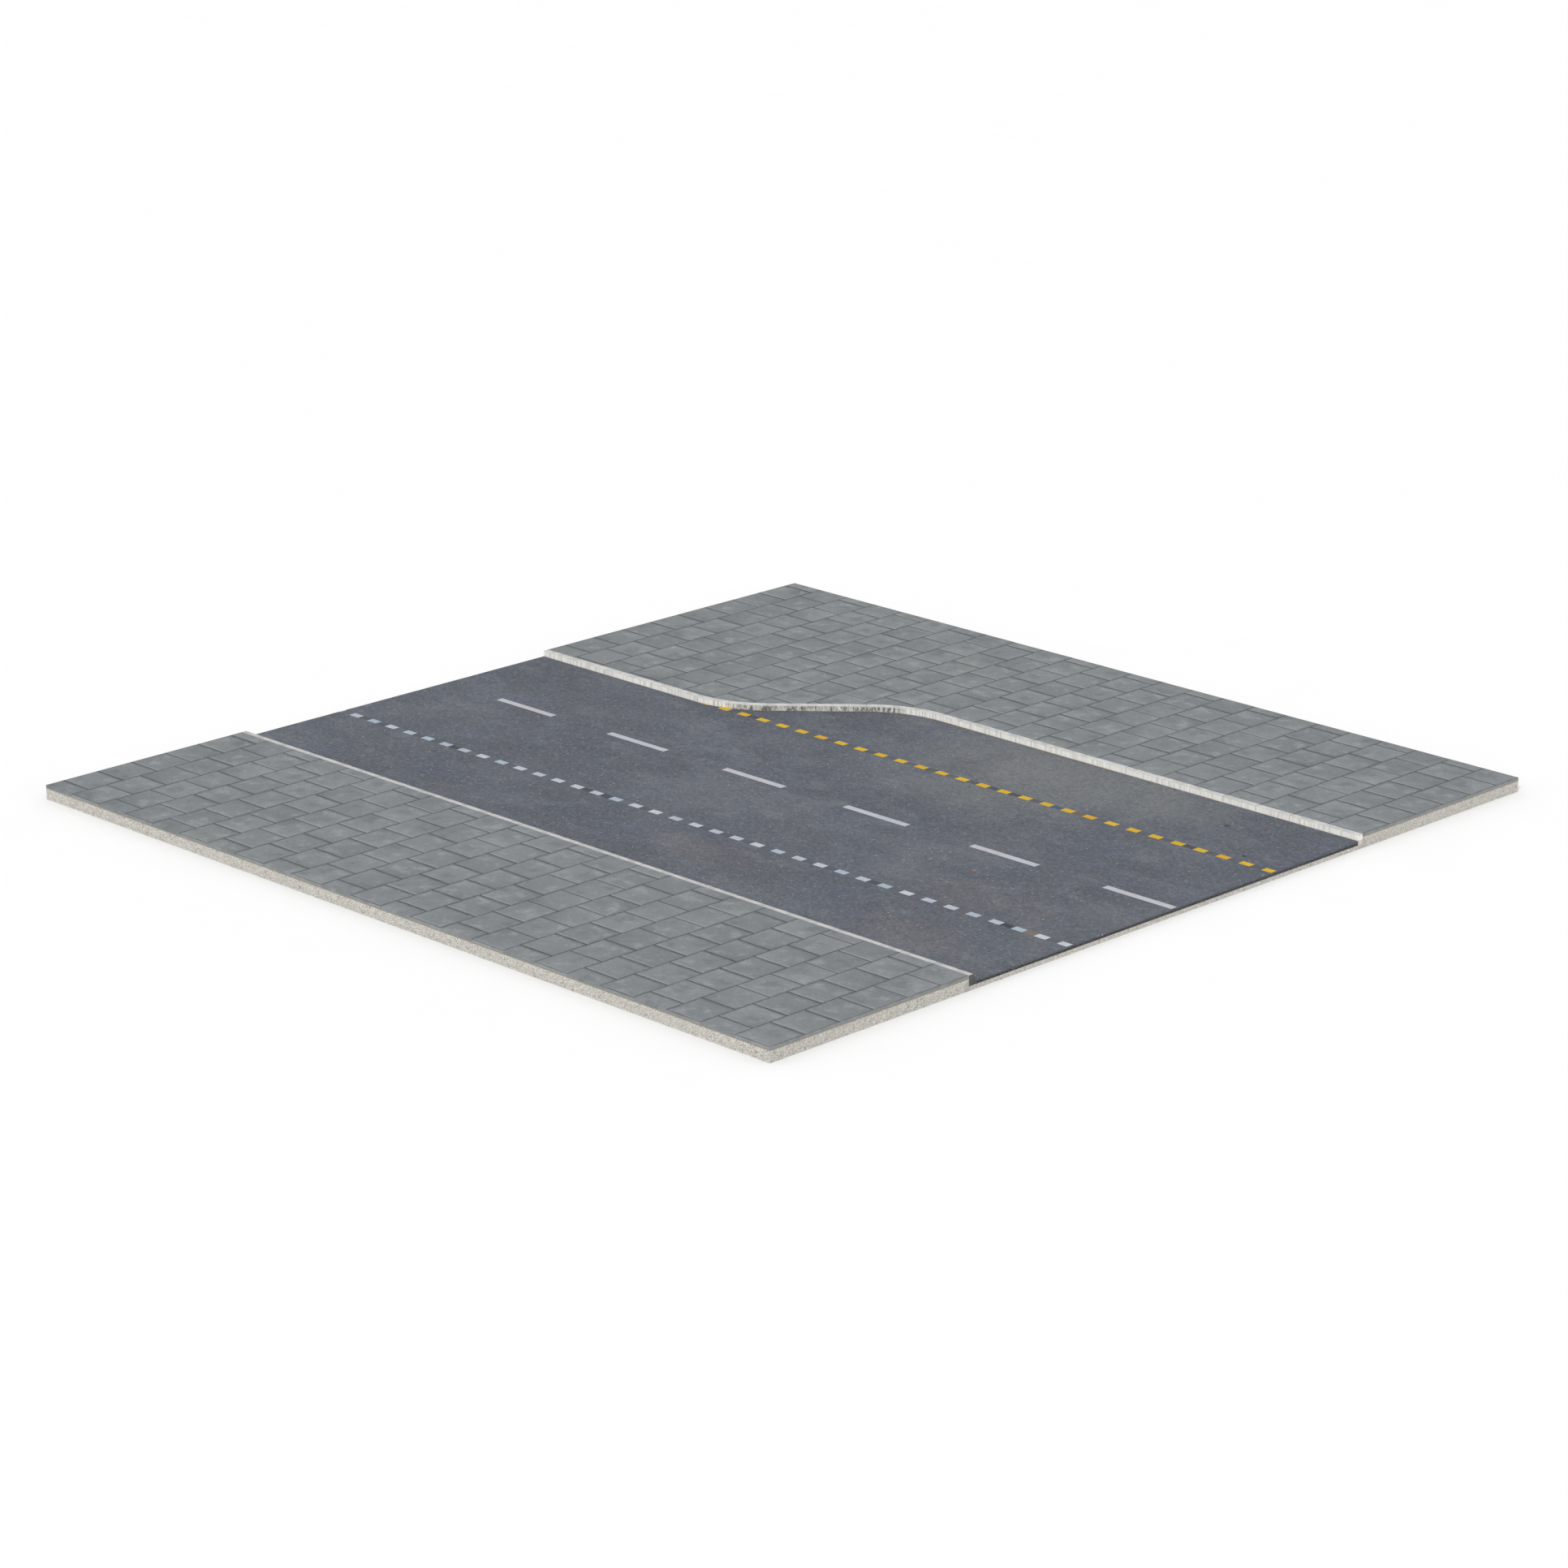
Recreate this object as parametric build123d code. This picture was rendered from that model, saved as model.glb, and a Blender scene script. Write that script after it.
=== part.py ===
"""Kerbed road section with a lay-by: layered carriageway, two flagged footways and line markings.

Units are millimetres. X runs along the road, Y across it towards the lay-by and Z up.
The origin lies in the middle of the underside, at formation level.
"""
import math
import os

from build123d import *

# Overall plan
SECTION_LENGTH = 24000
FOOTWAY_WIDTH = 5850
NEAR_LANE = 3000
MIDDLE_LANE = 3400
FAR_LANE = 3400
EDGE_LINE_OVERRUN = 100  # the through kerb's face stands this far inside the far lane's edge

# Lay-by
LAY_BY_DEPTH = 3100
TAPER_START = 5600  # from the section's west end to the first bend
TAPER_ANGLE = 43.2
BEND_RADIUS = 2650  # at the kerb's face, for both bends

# Kerb
KERB_WIDTH = 150
KERB_HEIGHT = 250
KERB_UPSTAND = 150
KERB_ARRIS = 25
KERB_PITCH = 1000
KERB_JOINT = 5
SHORTEST_KERB = 300
MORTAR_RECESS = 2
KERB_BED = 100
HAUNCH_WIDTH = 150
HAUNCH_FALL = 100

# Carriageway courses
SURFACE_COURSE = 40
BINDER_COURSE = 60

# Footway
FLAG_PITCH = 1000
FLAG_THICKNESS = 60
FLAG_JOINT = 5
FLAG_CHAMFER = 3
JOINT_RECESS = 4
LAYING_COURSE = 30
SMALLEST_CUT_AREA = 15000  # a corner smaller than this is made up with jointing
UNCUT_SHARE = 0.9999  # a flag that keeps this share of its volume wasn't cut
SQUARE_LIMIT = 0.01  # a side counts as square to X and Y while its normal leaves them by less

# Line markings
LINE_WIDTH = 200
LINE_THICKNESS = 3
PATCH_THICKNESS = 1.5
LONG_MARK = 2000
LONG_GAP = 2000
LONG_FIRST = 2000
SHORT_MARK = 1000 / 3
SHORT_GAP = 1000 / 3
SHORT_FIRST = 380
SMALLEST_MARK_AREA = 3000  # a sliver of a mark beside the kerb that is smaller than this isn't laid

# Levels, from the underside up
KERB_TOP = KERB_BED + KERB_HEIGHT
ROAD_TOP = KERB_TOP - KERB_UPSTAND
BINDER_TOP = ROAD_TOP - SURFACE_COURSE
ROAD_BASE_TOP = BINDER_TOP - BINDER_COURSE
FLAG_BOTTOM = KERB_TOP - FLAG_THICKNESS
LAYING_BOTTOM = FLAG_BOTTOM - LAYING_COURSE

# Plan lines
WEST = -SECTION_LENGTH / 2
EAST = SECTION_LENGTH / 2
SECTION_WIDTH = (2 * (FOOTWAY_WIDTH + KERB_WIDTH) + NEAR_LANE + MIDDLE_LANE + FAR_LANE
                 - EDGE_LINE_OVERRUN + LAY_BY_DEPTH)
NEAR_EDGE = -SECTION_WIDTH / 2
FAR_EDGE = SECTION_WIDTH / 2
NEAR_KERB_BACK = NEAR_EDGE + FOOTWAY_WIDTH
NEAR_FACE = NEAR_KERB_BACK + KERB_WIDTH
SHORT_LINE = NEAR_FACE + NEAR_LANE
LONG_LINE = SHORT_LINE + MIDDLE_LANE
LAY_BY_LINE = LONG_LINE + FAR_LANE
THROUGH_FACE = LAY_BY_LINE - EDGE_LINE_OVERRUN
LAY_BY_FACE = THROUGH_FACE + LAY_BY_DEPTH
LAY_BY_KERB_BACK = LAY_BY_FACE + KERB_WIDTH


class Stretch:
    """A straight or curved length of kerb line, with the footway on its left.

    A positive radius bends to the left, a negative one to the right, and None is straight.
    """

    def __init__(self, start, heading, length, radius=None):
        self.start = Vector(*start)
        self.heading = heading
        self.length = length
        self.radius = radius

    def normal(self):
        """Unit vector to the left of the start."""
        return Vector(1, 0).rotate(Axis.Z, self.heading + 90)

    def centre(self):
        """Centre of the bend."""
        return self.start + self.normal() * self.radius

    def turn(self, distance):
        """Change of heading over a distance along the face."""
        return 0 if self.radius is None else math.degrees(distance / self.radius)

    def point(self, distance, offset=0):
        """Point at a distance along the face, moved left by the offset."""
        if self.radius is None:
            along = Vector(1, 0).rotate(Axis.Z, self.heading)
            return self.start + along * distance + self.normal() * offset
        spoke = self.normal() * (offset - self.radius)
        return self.centre() + spoke.rotate(Axis.Z, self.turn(distance))

    def edge(self, offset):
        """The stretch's line in plan, moved left by the offset."""
        begin = self.point(0, offset)
        end = self.point(self.length, offset)
        if self.radius is None:
            return Line(begin, end)
        return ThreePointArc(begin, self.point(self.length / 2, offset), end)

    def swept(self, profile, begin, end):
        """The profile carried from one distance to another; its x is behind the face, its y is up."""
        heading = self.heading + self.turn(begin)
        along = Vector(1, 0).rotate(Axis.Z, heading)
        left = Vector(1, 0).rotate(Axis.Z, heading + 90)
        section = Plane(origin=self.point(begin), x_dir=left, z_dir=along) * profile
        if self.radius is None:
            return extrude(section, amount=end - begin)
        upright = (0, 0, math.copysign(1, self.radius))
        return revolve(section, Axis(self.centre(), upright), abs(self.turn(end - begin)))


def far_kerb_line():
    """The far kerb from west to east: through kerb, bend, taper, bend, lay-by kerb."""
    angle = math.radians(TAPER_ANGLE)
    bend_length = BEND_RADIUS * angle
    taper = (LAY_BY_DEPTH - 2 * BEND_RADIUS * (1 - math.cos(angle))) / math.sin(angle)
    through = Stretch((WEST, THROUGH_FACE), 0, TAPER_START)
    first_bend = Stretch(through.point(TAPER_START), 0, bend_length, BEND_RADIUS)
    taper_line = Stretch(first_bend.point(bend_length), TAPER_ANGLE, taper)
    second_bend = Stretch(taper_line.point(taper), TAPER_ANGLE, bend_length, -BEND_RADIUS)
    lay_by_start = second_bend.point(bend_length)
    lay_by = Stretch(lay_by_start, 0, EAST - lay_by_start.X)
    return [through, first_bend, taper_line, second_bend, lay_by]


# The near kerb runs from east to west, so that its footway lies on its left too.
NEAR_LINE = [Stretch((EAST, NEAR_FACE), 180, SECTION_LENGTH)]
FAR_LINE = far_kerb_line()


def outline(edges):
    """Closed face from a chain of plan edges."""
    return make_face(edges)


def slab(face, bottom, top):
    """Vertical prism on a plan face."""
    return extrude(Pos(0, 0, bottom) * face, amount=top - bottom)


def block(west, east, south, north, bottom, top):
    """Upright box between six planes."""
    size = (east - west, north - south, top - bottom)
    return Pos(west, south, bottom) * Box(*size, align=(Align.MIN, Align.MIN, Align.MIN))


def solids_of(shape):
    """All solids of a shape or of a list of shapes."""
    shapes = shape if isinstance(shape, (list, ShapeList)) else [shape]
    return [solid for item in shapes for solid in item.solids()]


def carriageway_plan():
    """Everything between the two kerb faces."""
    chain = [stretch.edge(0) for stretch in FAR_LINE]
    corners = [FAR_LINE[-1].point(FAR_LINE[-1].length), (EAST, NEAR_FACE), (WEST, NEAR_FACE),
               FAR_LINE[0].point(0)]
    return outline(chain + [Line(a, b) for a, b in zip(corners, corners[1:])])


def far_footway_plan():
    """Everything behind the far kerb."""
    chain = [stretch.edge(KERB_WIDTH) for stretch in FAR_LINE]
    corners = [FAR_LINE[-1].point(FAR_LINE[-1].length, KERB_WIDTH), (EAST, FAR_EDGE), (WEST, FAR_EDGE),
               FAR_LINE[0].point(0, KERB_WIDTH)]
    return outline(chain + [Line(a, b) for a, b in zip(corners, corners[1:])])


def near_footway_plan():
    """Everything behind the near kerb."""
    size = (SECTION_LENGTH, FOOTWAY_WIDTH)
    return Pos(0, NEAR_EDGE + FOOTWAY_WIDTH / 2) * Rectangle(*size)


# ---- kerbs ----

def kerb_profile(recess=0):
    """Kerb section with a rounded arris at the top of the face."""
    width = KERB_WIDTH - 2 * recess
    height = KERB_HEIGHT - recess
    body = Pos(recess, KERB_BED) * Rectangle(width, height, align=(Align.MIN, Align.MIN))
    face_top = body.vertices().sort_by(Axis.X)[:2].sort_by(Axis.Y)[-1]
    return fillet(face_top, KERB_ARRIS - recess)


def bed_profile():
    """Concrete bed that the kerb stands on, as wide as the kerb and its haunch."""
    return Rectangle(KERB_WIDTH + HAUNCH_WIDTH, KERB_BED, align=(Align.MIN, Align.MIN))


def haunch_profile():
    """Concrete backing on the bed behind the kerb, with a top that slopes down and away."""
    back = KERB_WIDTH + HAUNCH_WIDTH
    corners = [(KERB_WIDTH, KERB_BED), (back, KERB_BED), (back, LAYING_BOTTOM - HAUNCH_FALL),
               (KERB_WIDTH, LAYING_BOTTOM)]
    return make_face(Polyline(*corners, close=True))


def unit_spans(length):
    """Start and end of each kerb unit along a stretch, without a stub at its end."""
    count = max(1, math.ceil((length - KERB_JOINT) / KERB_PITCH))
    starts = [index * KERB_PITCH for index in range(count)]
    if count > 1 and length - starts[-1] < SHORTEST_KERB:
        starts[-1] = (starts[-2] + length) / 2
    return list(zip(starts, starts[1:] + [length]))


def lay_kerb(line):
    """Units for each stretch of a kerb line, and the mortar in every joint."""
    profile = kerb_profile()
    joint_profile = kerb_profile(MORTAR_RECESS)
    units = []
    mortar = []
    for index, stretch in enumerate(line):
        row = []
        for begin, end in unit_spans(stretch.length):
            last = index == len(line) - 1 and end == stretch.length
            unit_end = end if last else end - KERB_JOINT
            row.append(stretch.swept(profile, begin, unit_end))
            if not last:
                mortar.append(stretch.swept(joint_profile, unit_end, end))
        units.append(row)
    return units, mortar


def cast_along(profile, line):
    """A section cast in one length for each stretch of a kerb line."""
    return [stretch.swept(profile, 0, stretch.length) for stretch in line]


# ---- carriageway ----

def surface_mats(plan):
    """Surface course, laid in one mat for each lane and one for the lay-by."""
    course = slab(plan, BINDER_TOP, ROAD_TOP)
    joints = [NEAR_FACE, SHORT_LINE, LONG_LINE, LAY_BY_LINE, LAY_BY_FACE]
    names = ["near_lane_surface", "middle_lane_surface", "far_lane_surface", "lay_by_surface"]
    mats = {}
    for name, south, north in zip(names, joints, joints[1:]):
        mats[name] = course & block(WEST, EAST, south, north, BINDER_TOP, ROAD_TOP)
    return mats


# ---- footways ----

def flag(west, south, north):
    """One flag in its cell, half a joint inside it, with chamfered top arrises."""
    half = FLAG_JOINT / 2
    body = block(west + half, west + FLAG_PITCH - half, south + half, north - half, FLAG_BOTTOM, KERB_TOP)
    return chamfer(body.faces().sort_by(Axis.Z)[-1].edges(), FLAG_CHAMFER)


def flag_cells(datum, south, north):
    """Cells of a footway: one course per pitch along X, with joints broken by half a flag."""
    for course in range(math.ceil(SECTION_LENGTH / FLAG_PITCH)):
        first = datum + (FLAG_PITCH / 2 if course % 2 == 0 else 0)
        lowest = math.floor((south - first) / FLAG_PITCH)
        highest = math.ceil((north - first) / FLAG_PITCH)
        for row in range(lowest, highest):
            yield WEST + course * FLAG_PITCH, first + row * FLAG_PITCH


def lay_flags(plan, datum, south, north):
    """Whole flags, flags cut square and flags cut to the kerb's bends and taper."""
    ground = slab(plan, FLAG_BOTTOM, KERB_TOP)
    whole = []
    square_cut = []
    bend_cut = []
    for west, base in flag_cells(datum, south, north):
        cell = flag(west, base, base + FLAG_PITCH)
        for piece in solids_of(cell & ground):
            if piece.volume > cell.volume * UNCUT_SHARE:
                whole.append(piece)
            elif piece.volume > SMALLEST_CUT_AREA * FLAG_THICKNESS:
                (bend_cut if has_skewed_side(piece) else square_cut).append(piece)
    return whole, square_cut, bend_cut


def has_skewed_side(solid):
    """True where an upright side is curved or runs at an angle to X and Y."""
    sides = [face.normal_at() for face in solid.faces() if abs(face.normal_at().Z) < SQUARE_LIMIT]
    return any(min(abs(side.X), abs(side.Y)) > SQUARE_LIMIT for side in sides)


def jointing(plan, flags):
    """Sand-cement jointing: all that the flags leave free, a little below their tops."""
    return slab(plan, FLAG_BOTTOM, KERB_TOP - JOINT_RECESS).cut(*flags)


# ---- markings ----

def dashes(line_y, first, mark, gap, thickness, plan):
    """Marks of one broken line, cut off at the section's ends and at the kerb's face."""
    half = LINE_WIDTH / 2
    road = slab(plan, ROAD_TOP, ROAD_TOP + thickness)
    marks = []
    start = first - math.ceil(first / (mark + gap)) * (mark + gap)
    while start < SECTION_LENGTH:
        begin = max(start, 0)
        end = min(start + mark, SECTION_LENGTH)
        start += mark + gap
        if end <= begin:
            continue
        piece = block(WEST + begin, WEST + end, line_y - half, line_y + half, ROAD_TOP, ROAD_TOP + thickness)
        laid = solids_of(piece & road)
        marks.extend(solid for solid in laid if solid.volume > SMALLEST_MARK_AREA * thickness)
    return marks


def build():
    """Every sub-part of the section by its node name."""
    road = carriageway_plan()
    near_walk = near_footway_plan()
    far_walk = far_footway_plan()
    near_units, near_mortar = lay_kerb(NEAR_LINE)
    far_units, far_mortar = lay_kerb(FAR_LINE)
    near_bed = cast_along(bed_profile(), NEAR_LINE)
    near_haunch = cast_along(haunch_profile(), NEAR_LINE)
    far_bed = cast_along(bed_profile(), FAR_LINE)
    far_haunch = cast_along(haunch_profile(), FAR_LINE)

    parts = {
        "carriageway_sub_base": slab(road, 0, ROAD_BASE_TOP),
        "binder_course": slab(road, ROAD_BASE_TOP, BINDER_TOP),
        "near_kerb_bed": near_bed,
        "near_kerb_haunch": near_haunch,
        "far_kerb_bed": far_bed,
        "far_kerb_haunch": far_haunch,
        "near_kerb_units": near_units[0],
        "through_kerb_units": far_units[0],
        "external_radius_kerbs": far_units[1],
        "taper_kerb_units": far_units[2],
        "internal_radius_kerbs": far_units[3],
        "lay_by_kerb_units": far_units[4],
        "near_kerb_joint_mortar": near_mortar,
        "far_kerb_joint_mortar": far_mortar,
        "near_footway_sub_base": slab(near_walk, 0, LAYING_BOTTOM).cut(*near_bed, *near_haunch),
        "far_footway_sub_base": slab(far_walk, 0, LAYING_BOTTOM).cut(*far_bed, *far_haunch),
        "near_footway_laying_course": slab(near_walk, LAYING_BOTTOM, FLAG_BOTTOM),
        "far_footway_laying_course": slab(far_walk, LAYING_BOTTOM, FLAG_BOTTOM),
    }
    parts.update(surface_mats(road))

    whole, square_cut, _ = lay_flags(near_walk, NEAR_EDGE, NEAR_EDGE, NEAR_KERB_BACK)
    parts["near_footway_flags"] = whole
    parts["near_footway_cut_flags"] = square_cut
    parts["near_footway_jointing"] = jointing(near_walk, whole + square_cut)

    south = THROUGH_FACE + KERB_WIDTH
    whole, square_cut, bend_cut = lay_flags(far_walk, LAY_BY_KERB_BACK, south, FAR_EDGE)
    parts["far_footway_flags"] = whole
    parts["far_footway_cut_flags"] = square_cut
    parts["far_footway_bend_flags"] = bend_cut
    parts["far_footway_jointing"] = jointing(far_walk, whole + square_cut + bend_cut)

    patch_first = SHORT_FIRST + SHORT_MARK
    parts["lane_line_long_marks"] = dashes(LONG_LINE, LONG_FIRST, LONG_MARK, LONG_GAP, LINE_THICKNESS, road)
    for line, place in (("short_line", SHORT_LINE), ("lay_by_line", LAY_BY_LINE)):
        parts[line + "_marks"] = dashes(place, SHORT_FIRST, SHORT_MARK, SHORT_GAP, LINE_THICKNESS, road)
        parts[line + "_patches"] = dashes(place, patch_first, SHORT_GAP, SHORT_MARK, PATCH_THICKNESS, road)
    return parts


def write(parts):
    """One STEP file per node."""
    os.makedirs("parts", exist_ok=True)
    for name, shape in parts.items():
        solids = solids_of(shape)
        whole = solids[0] if len(solids) == 1 else Compound(children=solids)
        export_step(whole, "parts/" + name + ".step")
        print(name, len(solids))


write(build())
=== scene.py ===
import bpy
import math
import numpy as np
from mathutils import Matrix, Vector


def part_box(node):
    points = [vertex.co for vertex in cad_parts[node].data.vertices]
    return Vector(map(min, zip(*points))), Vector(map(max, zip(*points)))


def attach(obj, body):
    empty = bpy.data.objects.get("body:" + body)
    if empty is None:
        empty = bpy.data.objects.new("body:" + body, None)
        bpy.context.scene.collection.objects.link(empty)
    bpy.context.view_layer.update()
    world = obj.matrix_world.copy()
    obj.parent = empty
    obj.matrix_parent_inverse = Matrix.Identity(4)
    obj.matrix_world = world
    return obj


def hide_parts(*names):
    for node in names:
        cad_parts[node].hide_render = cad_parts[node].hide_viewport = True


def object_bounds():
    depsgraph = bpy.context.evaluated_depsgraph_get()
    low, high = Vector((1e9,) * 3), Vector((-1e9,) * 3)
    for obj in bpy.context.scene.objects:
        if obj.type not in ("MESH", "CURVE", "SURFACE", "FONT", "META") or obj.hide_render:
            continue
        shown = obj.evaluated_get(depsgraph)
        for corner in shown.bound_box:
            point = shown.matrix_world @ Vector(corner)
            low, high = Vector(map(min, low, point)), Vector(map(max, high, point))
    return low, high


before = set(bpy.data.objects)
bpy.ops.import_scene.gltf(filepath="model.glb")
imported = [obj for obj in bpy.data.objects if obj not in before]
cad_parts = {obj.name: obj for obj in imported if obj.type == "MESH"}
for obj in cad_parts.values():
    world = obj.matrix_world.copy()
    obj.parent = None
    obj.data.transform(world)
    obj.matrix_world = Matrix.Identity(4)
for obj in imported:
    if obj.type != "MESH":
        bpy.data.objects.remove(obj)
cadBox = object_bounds()
rng = np.random.default_rng(7)
print("frame loaded:", len(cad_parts), "nodes")


def spanOf(node):
    # lowest and highest corner of a node as two numpy rows
    return np.array([list(corner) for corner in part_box(node)])


# plan of the section, read from the frame
flagBoxNear = spanOf("near_footway_jointing")
flagBoxFar = spanOf("far_footway_jointing")
throughBox = spanOf("through_kerb_units")
layByBox = spanOf("lay_by_kerb_units")
nearKerbBox = spanOf("near_kerb_units")
roadBox = spanOf("near_lane_surface")

plan = dict(
    west=roadBox[0, 0], east=roadBox[1, 0],
    nearEdge=flagBoxNear[0, 1], nearKerbBack=nearKerbBox[0, 1], nearFace=nearKerbBox[1, 1],
    shortLine=spanOf("middle_lane_surface")[0, 1], longLine=spanOf("middle_lane_surface")[1, 1],
    layByLine=spanOf("far_lane_surface")[1, 1],
    throughFace=throughBox[0, 1], throughBack=throughBox[1, 1],
    layByFace=layByBox[0, 1], layByBack=layByBox[1, 1], farEdge=flagBoxFar[1, 1],
    kerbTop=nearKerbBox[1, 2], kerbBottom=nearKerbBox[0, 2],
    layingBottom=spanOf("near_footway_laying_course")[0, 2], subBaseTop=spanOf("carriageway_sub_base")[1, 2],
    roadTop=roadBox[1, 2], binderTop=roadBox[0, 2], flagBottom=flagBoxNear[0, 2])
kerbWidth = plan["throughBack"] - plan["throughFace"]
kerbJoint = 0.005
bendRadius = 2.65
bendStart = throughBox[1, 0] + kerbJoint
bendEnd = layByBox[0, 0]

# the turn of both bends: two arcs and the tangent between them span the lay-by's depth over the S-bend
bendSpan = bendEnd - bendStart
shift = 2 * bendRadius - (plan["layByFace"] - plan["throughFace"])
bendTurn = math.asin(2 * bendRadius / math.hypot(bendSpan, shift)) - math.atan2(shift, bendSpan)
bendReach = bendRadius * math.sin(bendTurn)
taperLength = (bendSpan - 2 * bendReach) / math.cos(bendTurn)


def kerbFaceAt(x):
    # y of the far kerb's face: level, arc about a centre behind it, slope, arc about one before it, level
    x = np.asarray(x, float)
    fromStart = np.clip(x - bendStart, 0, bendReach)
    fromEnd = np.clip(bendEnd - x, 0, bendReach)
    first = bendRadius - np.sqrt(bendRadius**2 - fromStart**2)
    second = bendRadius - np.sqrt(bendRadius**2 - fromEnd**2)
    slope = np.clip(x - bendStart - bendReach, 0, bendSpan - 2 * bendReach) * math.tan(bendTurn)
    risen = plan["throughFace"] + first + slope
    return np.where(x < bendEnd - bendReach, risen, plan["layByFace"] - second)


# shader helpers
studio = dict(skyStrength=0.9, sunStrength=1.25, sunFrom=(0.42, -0.80, 0.72), sunAngle=14, level=1.17)


def darker(colour, share):
    # each part of a colour times a share
    return [share * part for part in colour]


def tone(red, green, blue, level=studio["level"]):
    # a colour on the 0 to 255 scale, as it should look in the studio light
    scaled = np.array([red, green, blue]) / 255
    linear = np.where(scaled < 0.04045, scaled / 12.92, ((scaled + 0.055) / 1.055) ** 2.4)
    return tuple(linear / level) + (1,)


class Signal:
    # a shader socket that takes part in plain arithmetic
    def __init__(self, paint, socket):
        self.paint = paint
        self.socket = socket

    def __add__(self, other):
        # this plus the other
        return self.paint.maths("ADD", self, other)

    def __sub__(self, other):
        # this less the other
        return self.paint.maths("SUBTRACT", self, other)

    def __rsub__(self, other):
        # the other less this
        return self.paint.maths("SUBTRACT", other, self)

    def __mul__(self, other):
        # this times the other
        return self.paint.maths("MULTIPLY", self, other)

    def __truediv__(self, other):
        # this over the other
        return self.paint.maths("DIVIDE", self, other)

    __radd__ = __add__
    __rmul__ = __mul__


class Paint:
    # one material: its nodes, its Principled shader, its colours by name and the colour laid so far
    def __init__(self, name, look, specular=0.15):
        self.look = look
        self.colour = None
        self.material = bpy.data.materials.new(name)
        self.material.use_nodes = True
        self.tree = self.material.node_tree
        self.tree.nodes.clear()
        self.shader = self.tree.nodes.new("ShaderNodeBsdfPrincipled")
        output = self.tree.nodes.new("ShaderNodeOutputMaterial")
        self.tree.links.new(self.shader.outputs[0], output.inputs[0])
        self.shader.inputs["Specular IOR Level"].default_value = specular
        self.place = self.node("ShaderNodeTexCoord", {}, {}, "Object")
        split = self.tree.nodes.new("ShaderNodeSeparateXYZ")
        self.tree.links.new(self.place.socket, split.inputs[0])
        self.x, self.y, self.z = (Signal(self, socket) for socket in split.outputs)

    def feed(self, socket, value):
        # links a signal to a socket, or sets the socket to a plain value
        if isinstance(value, Signal):
            self.tree.links.new(value.socket, socket)
        else:
            socket.default_value = value

    def node(self, kind, settings, sockets, output=0):
        # any node: its settings first, then the values or links of its sockets
        made = self.tree.nodes.new(kind)
        for setting, value in settings.items():
            setattr(made, setting, value)
        for socket, value in sockets.items():
            self.feed(made.inputs[socket], value)
        return Signal(self, made.outputs[output])

    def maths(self, operation, first, second=0.0):
        # one operation of the Math node
        return self.node("ShaderNodeMath", {"operation": operation}, {0: first, 1: second})

    def vector(self, x, y, z):
        # three numbers as one place
        return self.node("ShaderNodeCombineXYZ", {}, {0: x, 1: y, 2: z})

    def noise(self, scale, detail=3.0, roughness=0.55, at=None, stretch=None):
        # soft noise about 0.5; stretch multiplies the scale along each axis
        at = at or self.place
        if stretch:
            at = self.node("ShaderNodeVectorMath", {"operation": "MULTIPLY"}, {0: at, 1: stretch})
        sockets = {"Vector": at, "Scale": scale, "Detail": detail, "Roughness": roughness}
        return self.node("ShaderNodeTexNoise", {}, sockets)

    def stones(self, scale, output="Color", at=None, **settings):
        # cells of scattered points: a random number for each, or the distance to its middle or its edge
        sockets = {"Vector": at or self.place, "Scale": scale}
        made = self.node("ShaderNodeTexVoronoi", settings, sockets, output)
        return self.node("ShaderNodeSeparateXYZ", {}, {0: made}) if output == "Color" else made

    def chance(self, at):
        # a random number for each whole-number cell
        return self.node("ShaderNodeTexWhiteNoise", {"noise_dimensions": "3D"}, {"Vector": at})

    def ramp(self, value, low, high, toLow=0.0, toHigh=1.0):
        # a smooth step from toLow to toHigh while value goes from low to high
        sockets = {0: value, 1: low, 2: high, 3: toLow, 4: toHigh}
        return self.node("ShaderNodeMapRange", {"interpolation_type": "SMOOTHSTEP"}, sockets)

    def mix(self, factor, first, second):
        # the first colour where factor is 0, the second where it is 1
        return self.node("ShaderNodeMix", {"data_type": "RGBA"}, {0: factor, 6: first, 7: second}, 2)

    def ground(self, factor, first, second, level=studio["level"]):
        # the first layer: a blend of two of the look's colours
        self.colour = self.mix(factor, tone(*self.look[first], level), tone(*self.look[second], level))

    def coat(self, amount, part, level=studio["level"]):
        # lays one of the look's colours over the colour so far
        self.colour = self.mix(amount, self.colour, tone(*self.look[part], level))

    def stain(self, value, low, high, amount, part, level=studio["level"]):
        # a coat that grows to its amount while a value goes from low to high
        self.coat(self.ramp(value, low, high) * amount, part, level)

    def away(self, x, y, reachX=1.0, reachY=1.0):
        # distance in plan from a place, each way as a share of its reach
        x = (self.x - x) / reachX
        y = (self.y - y) / reachY
        return self.maths("SQRT", x * x + y * y)

    def spot(self, x, y, reach):
        # a small soft spot at one place in plan
        return self.ramp(self.away(x, y), reach, reach * 0.65)

    def facing(self, axis):
        # one part of the surface normal
        normal = self.node("ShaderNodeNewGeometry", {}, {}, "Normal")
        return self.node("ShaderNodeSeparateXYZ", {}, {0: normal}, axis)

    def finish(self, roughness, relief=None, height=0.001, strength=0.6):
        # the colour so far, its roughness and its relief in metres go to the shader
        self.feed(self.shader.inputs["Base Color"], self.colour)
        self.feed(self.shader.inputs["Roughness"], roughness)
        if relief:
            sockets = {"Height": relief, "Distance": height, "Strength": strength}
            self.feed(self.shader.inputs["Normal"], self.node("ShaderNodeBump", {}, sockets))
        return self.material


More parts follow.
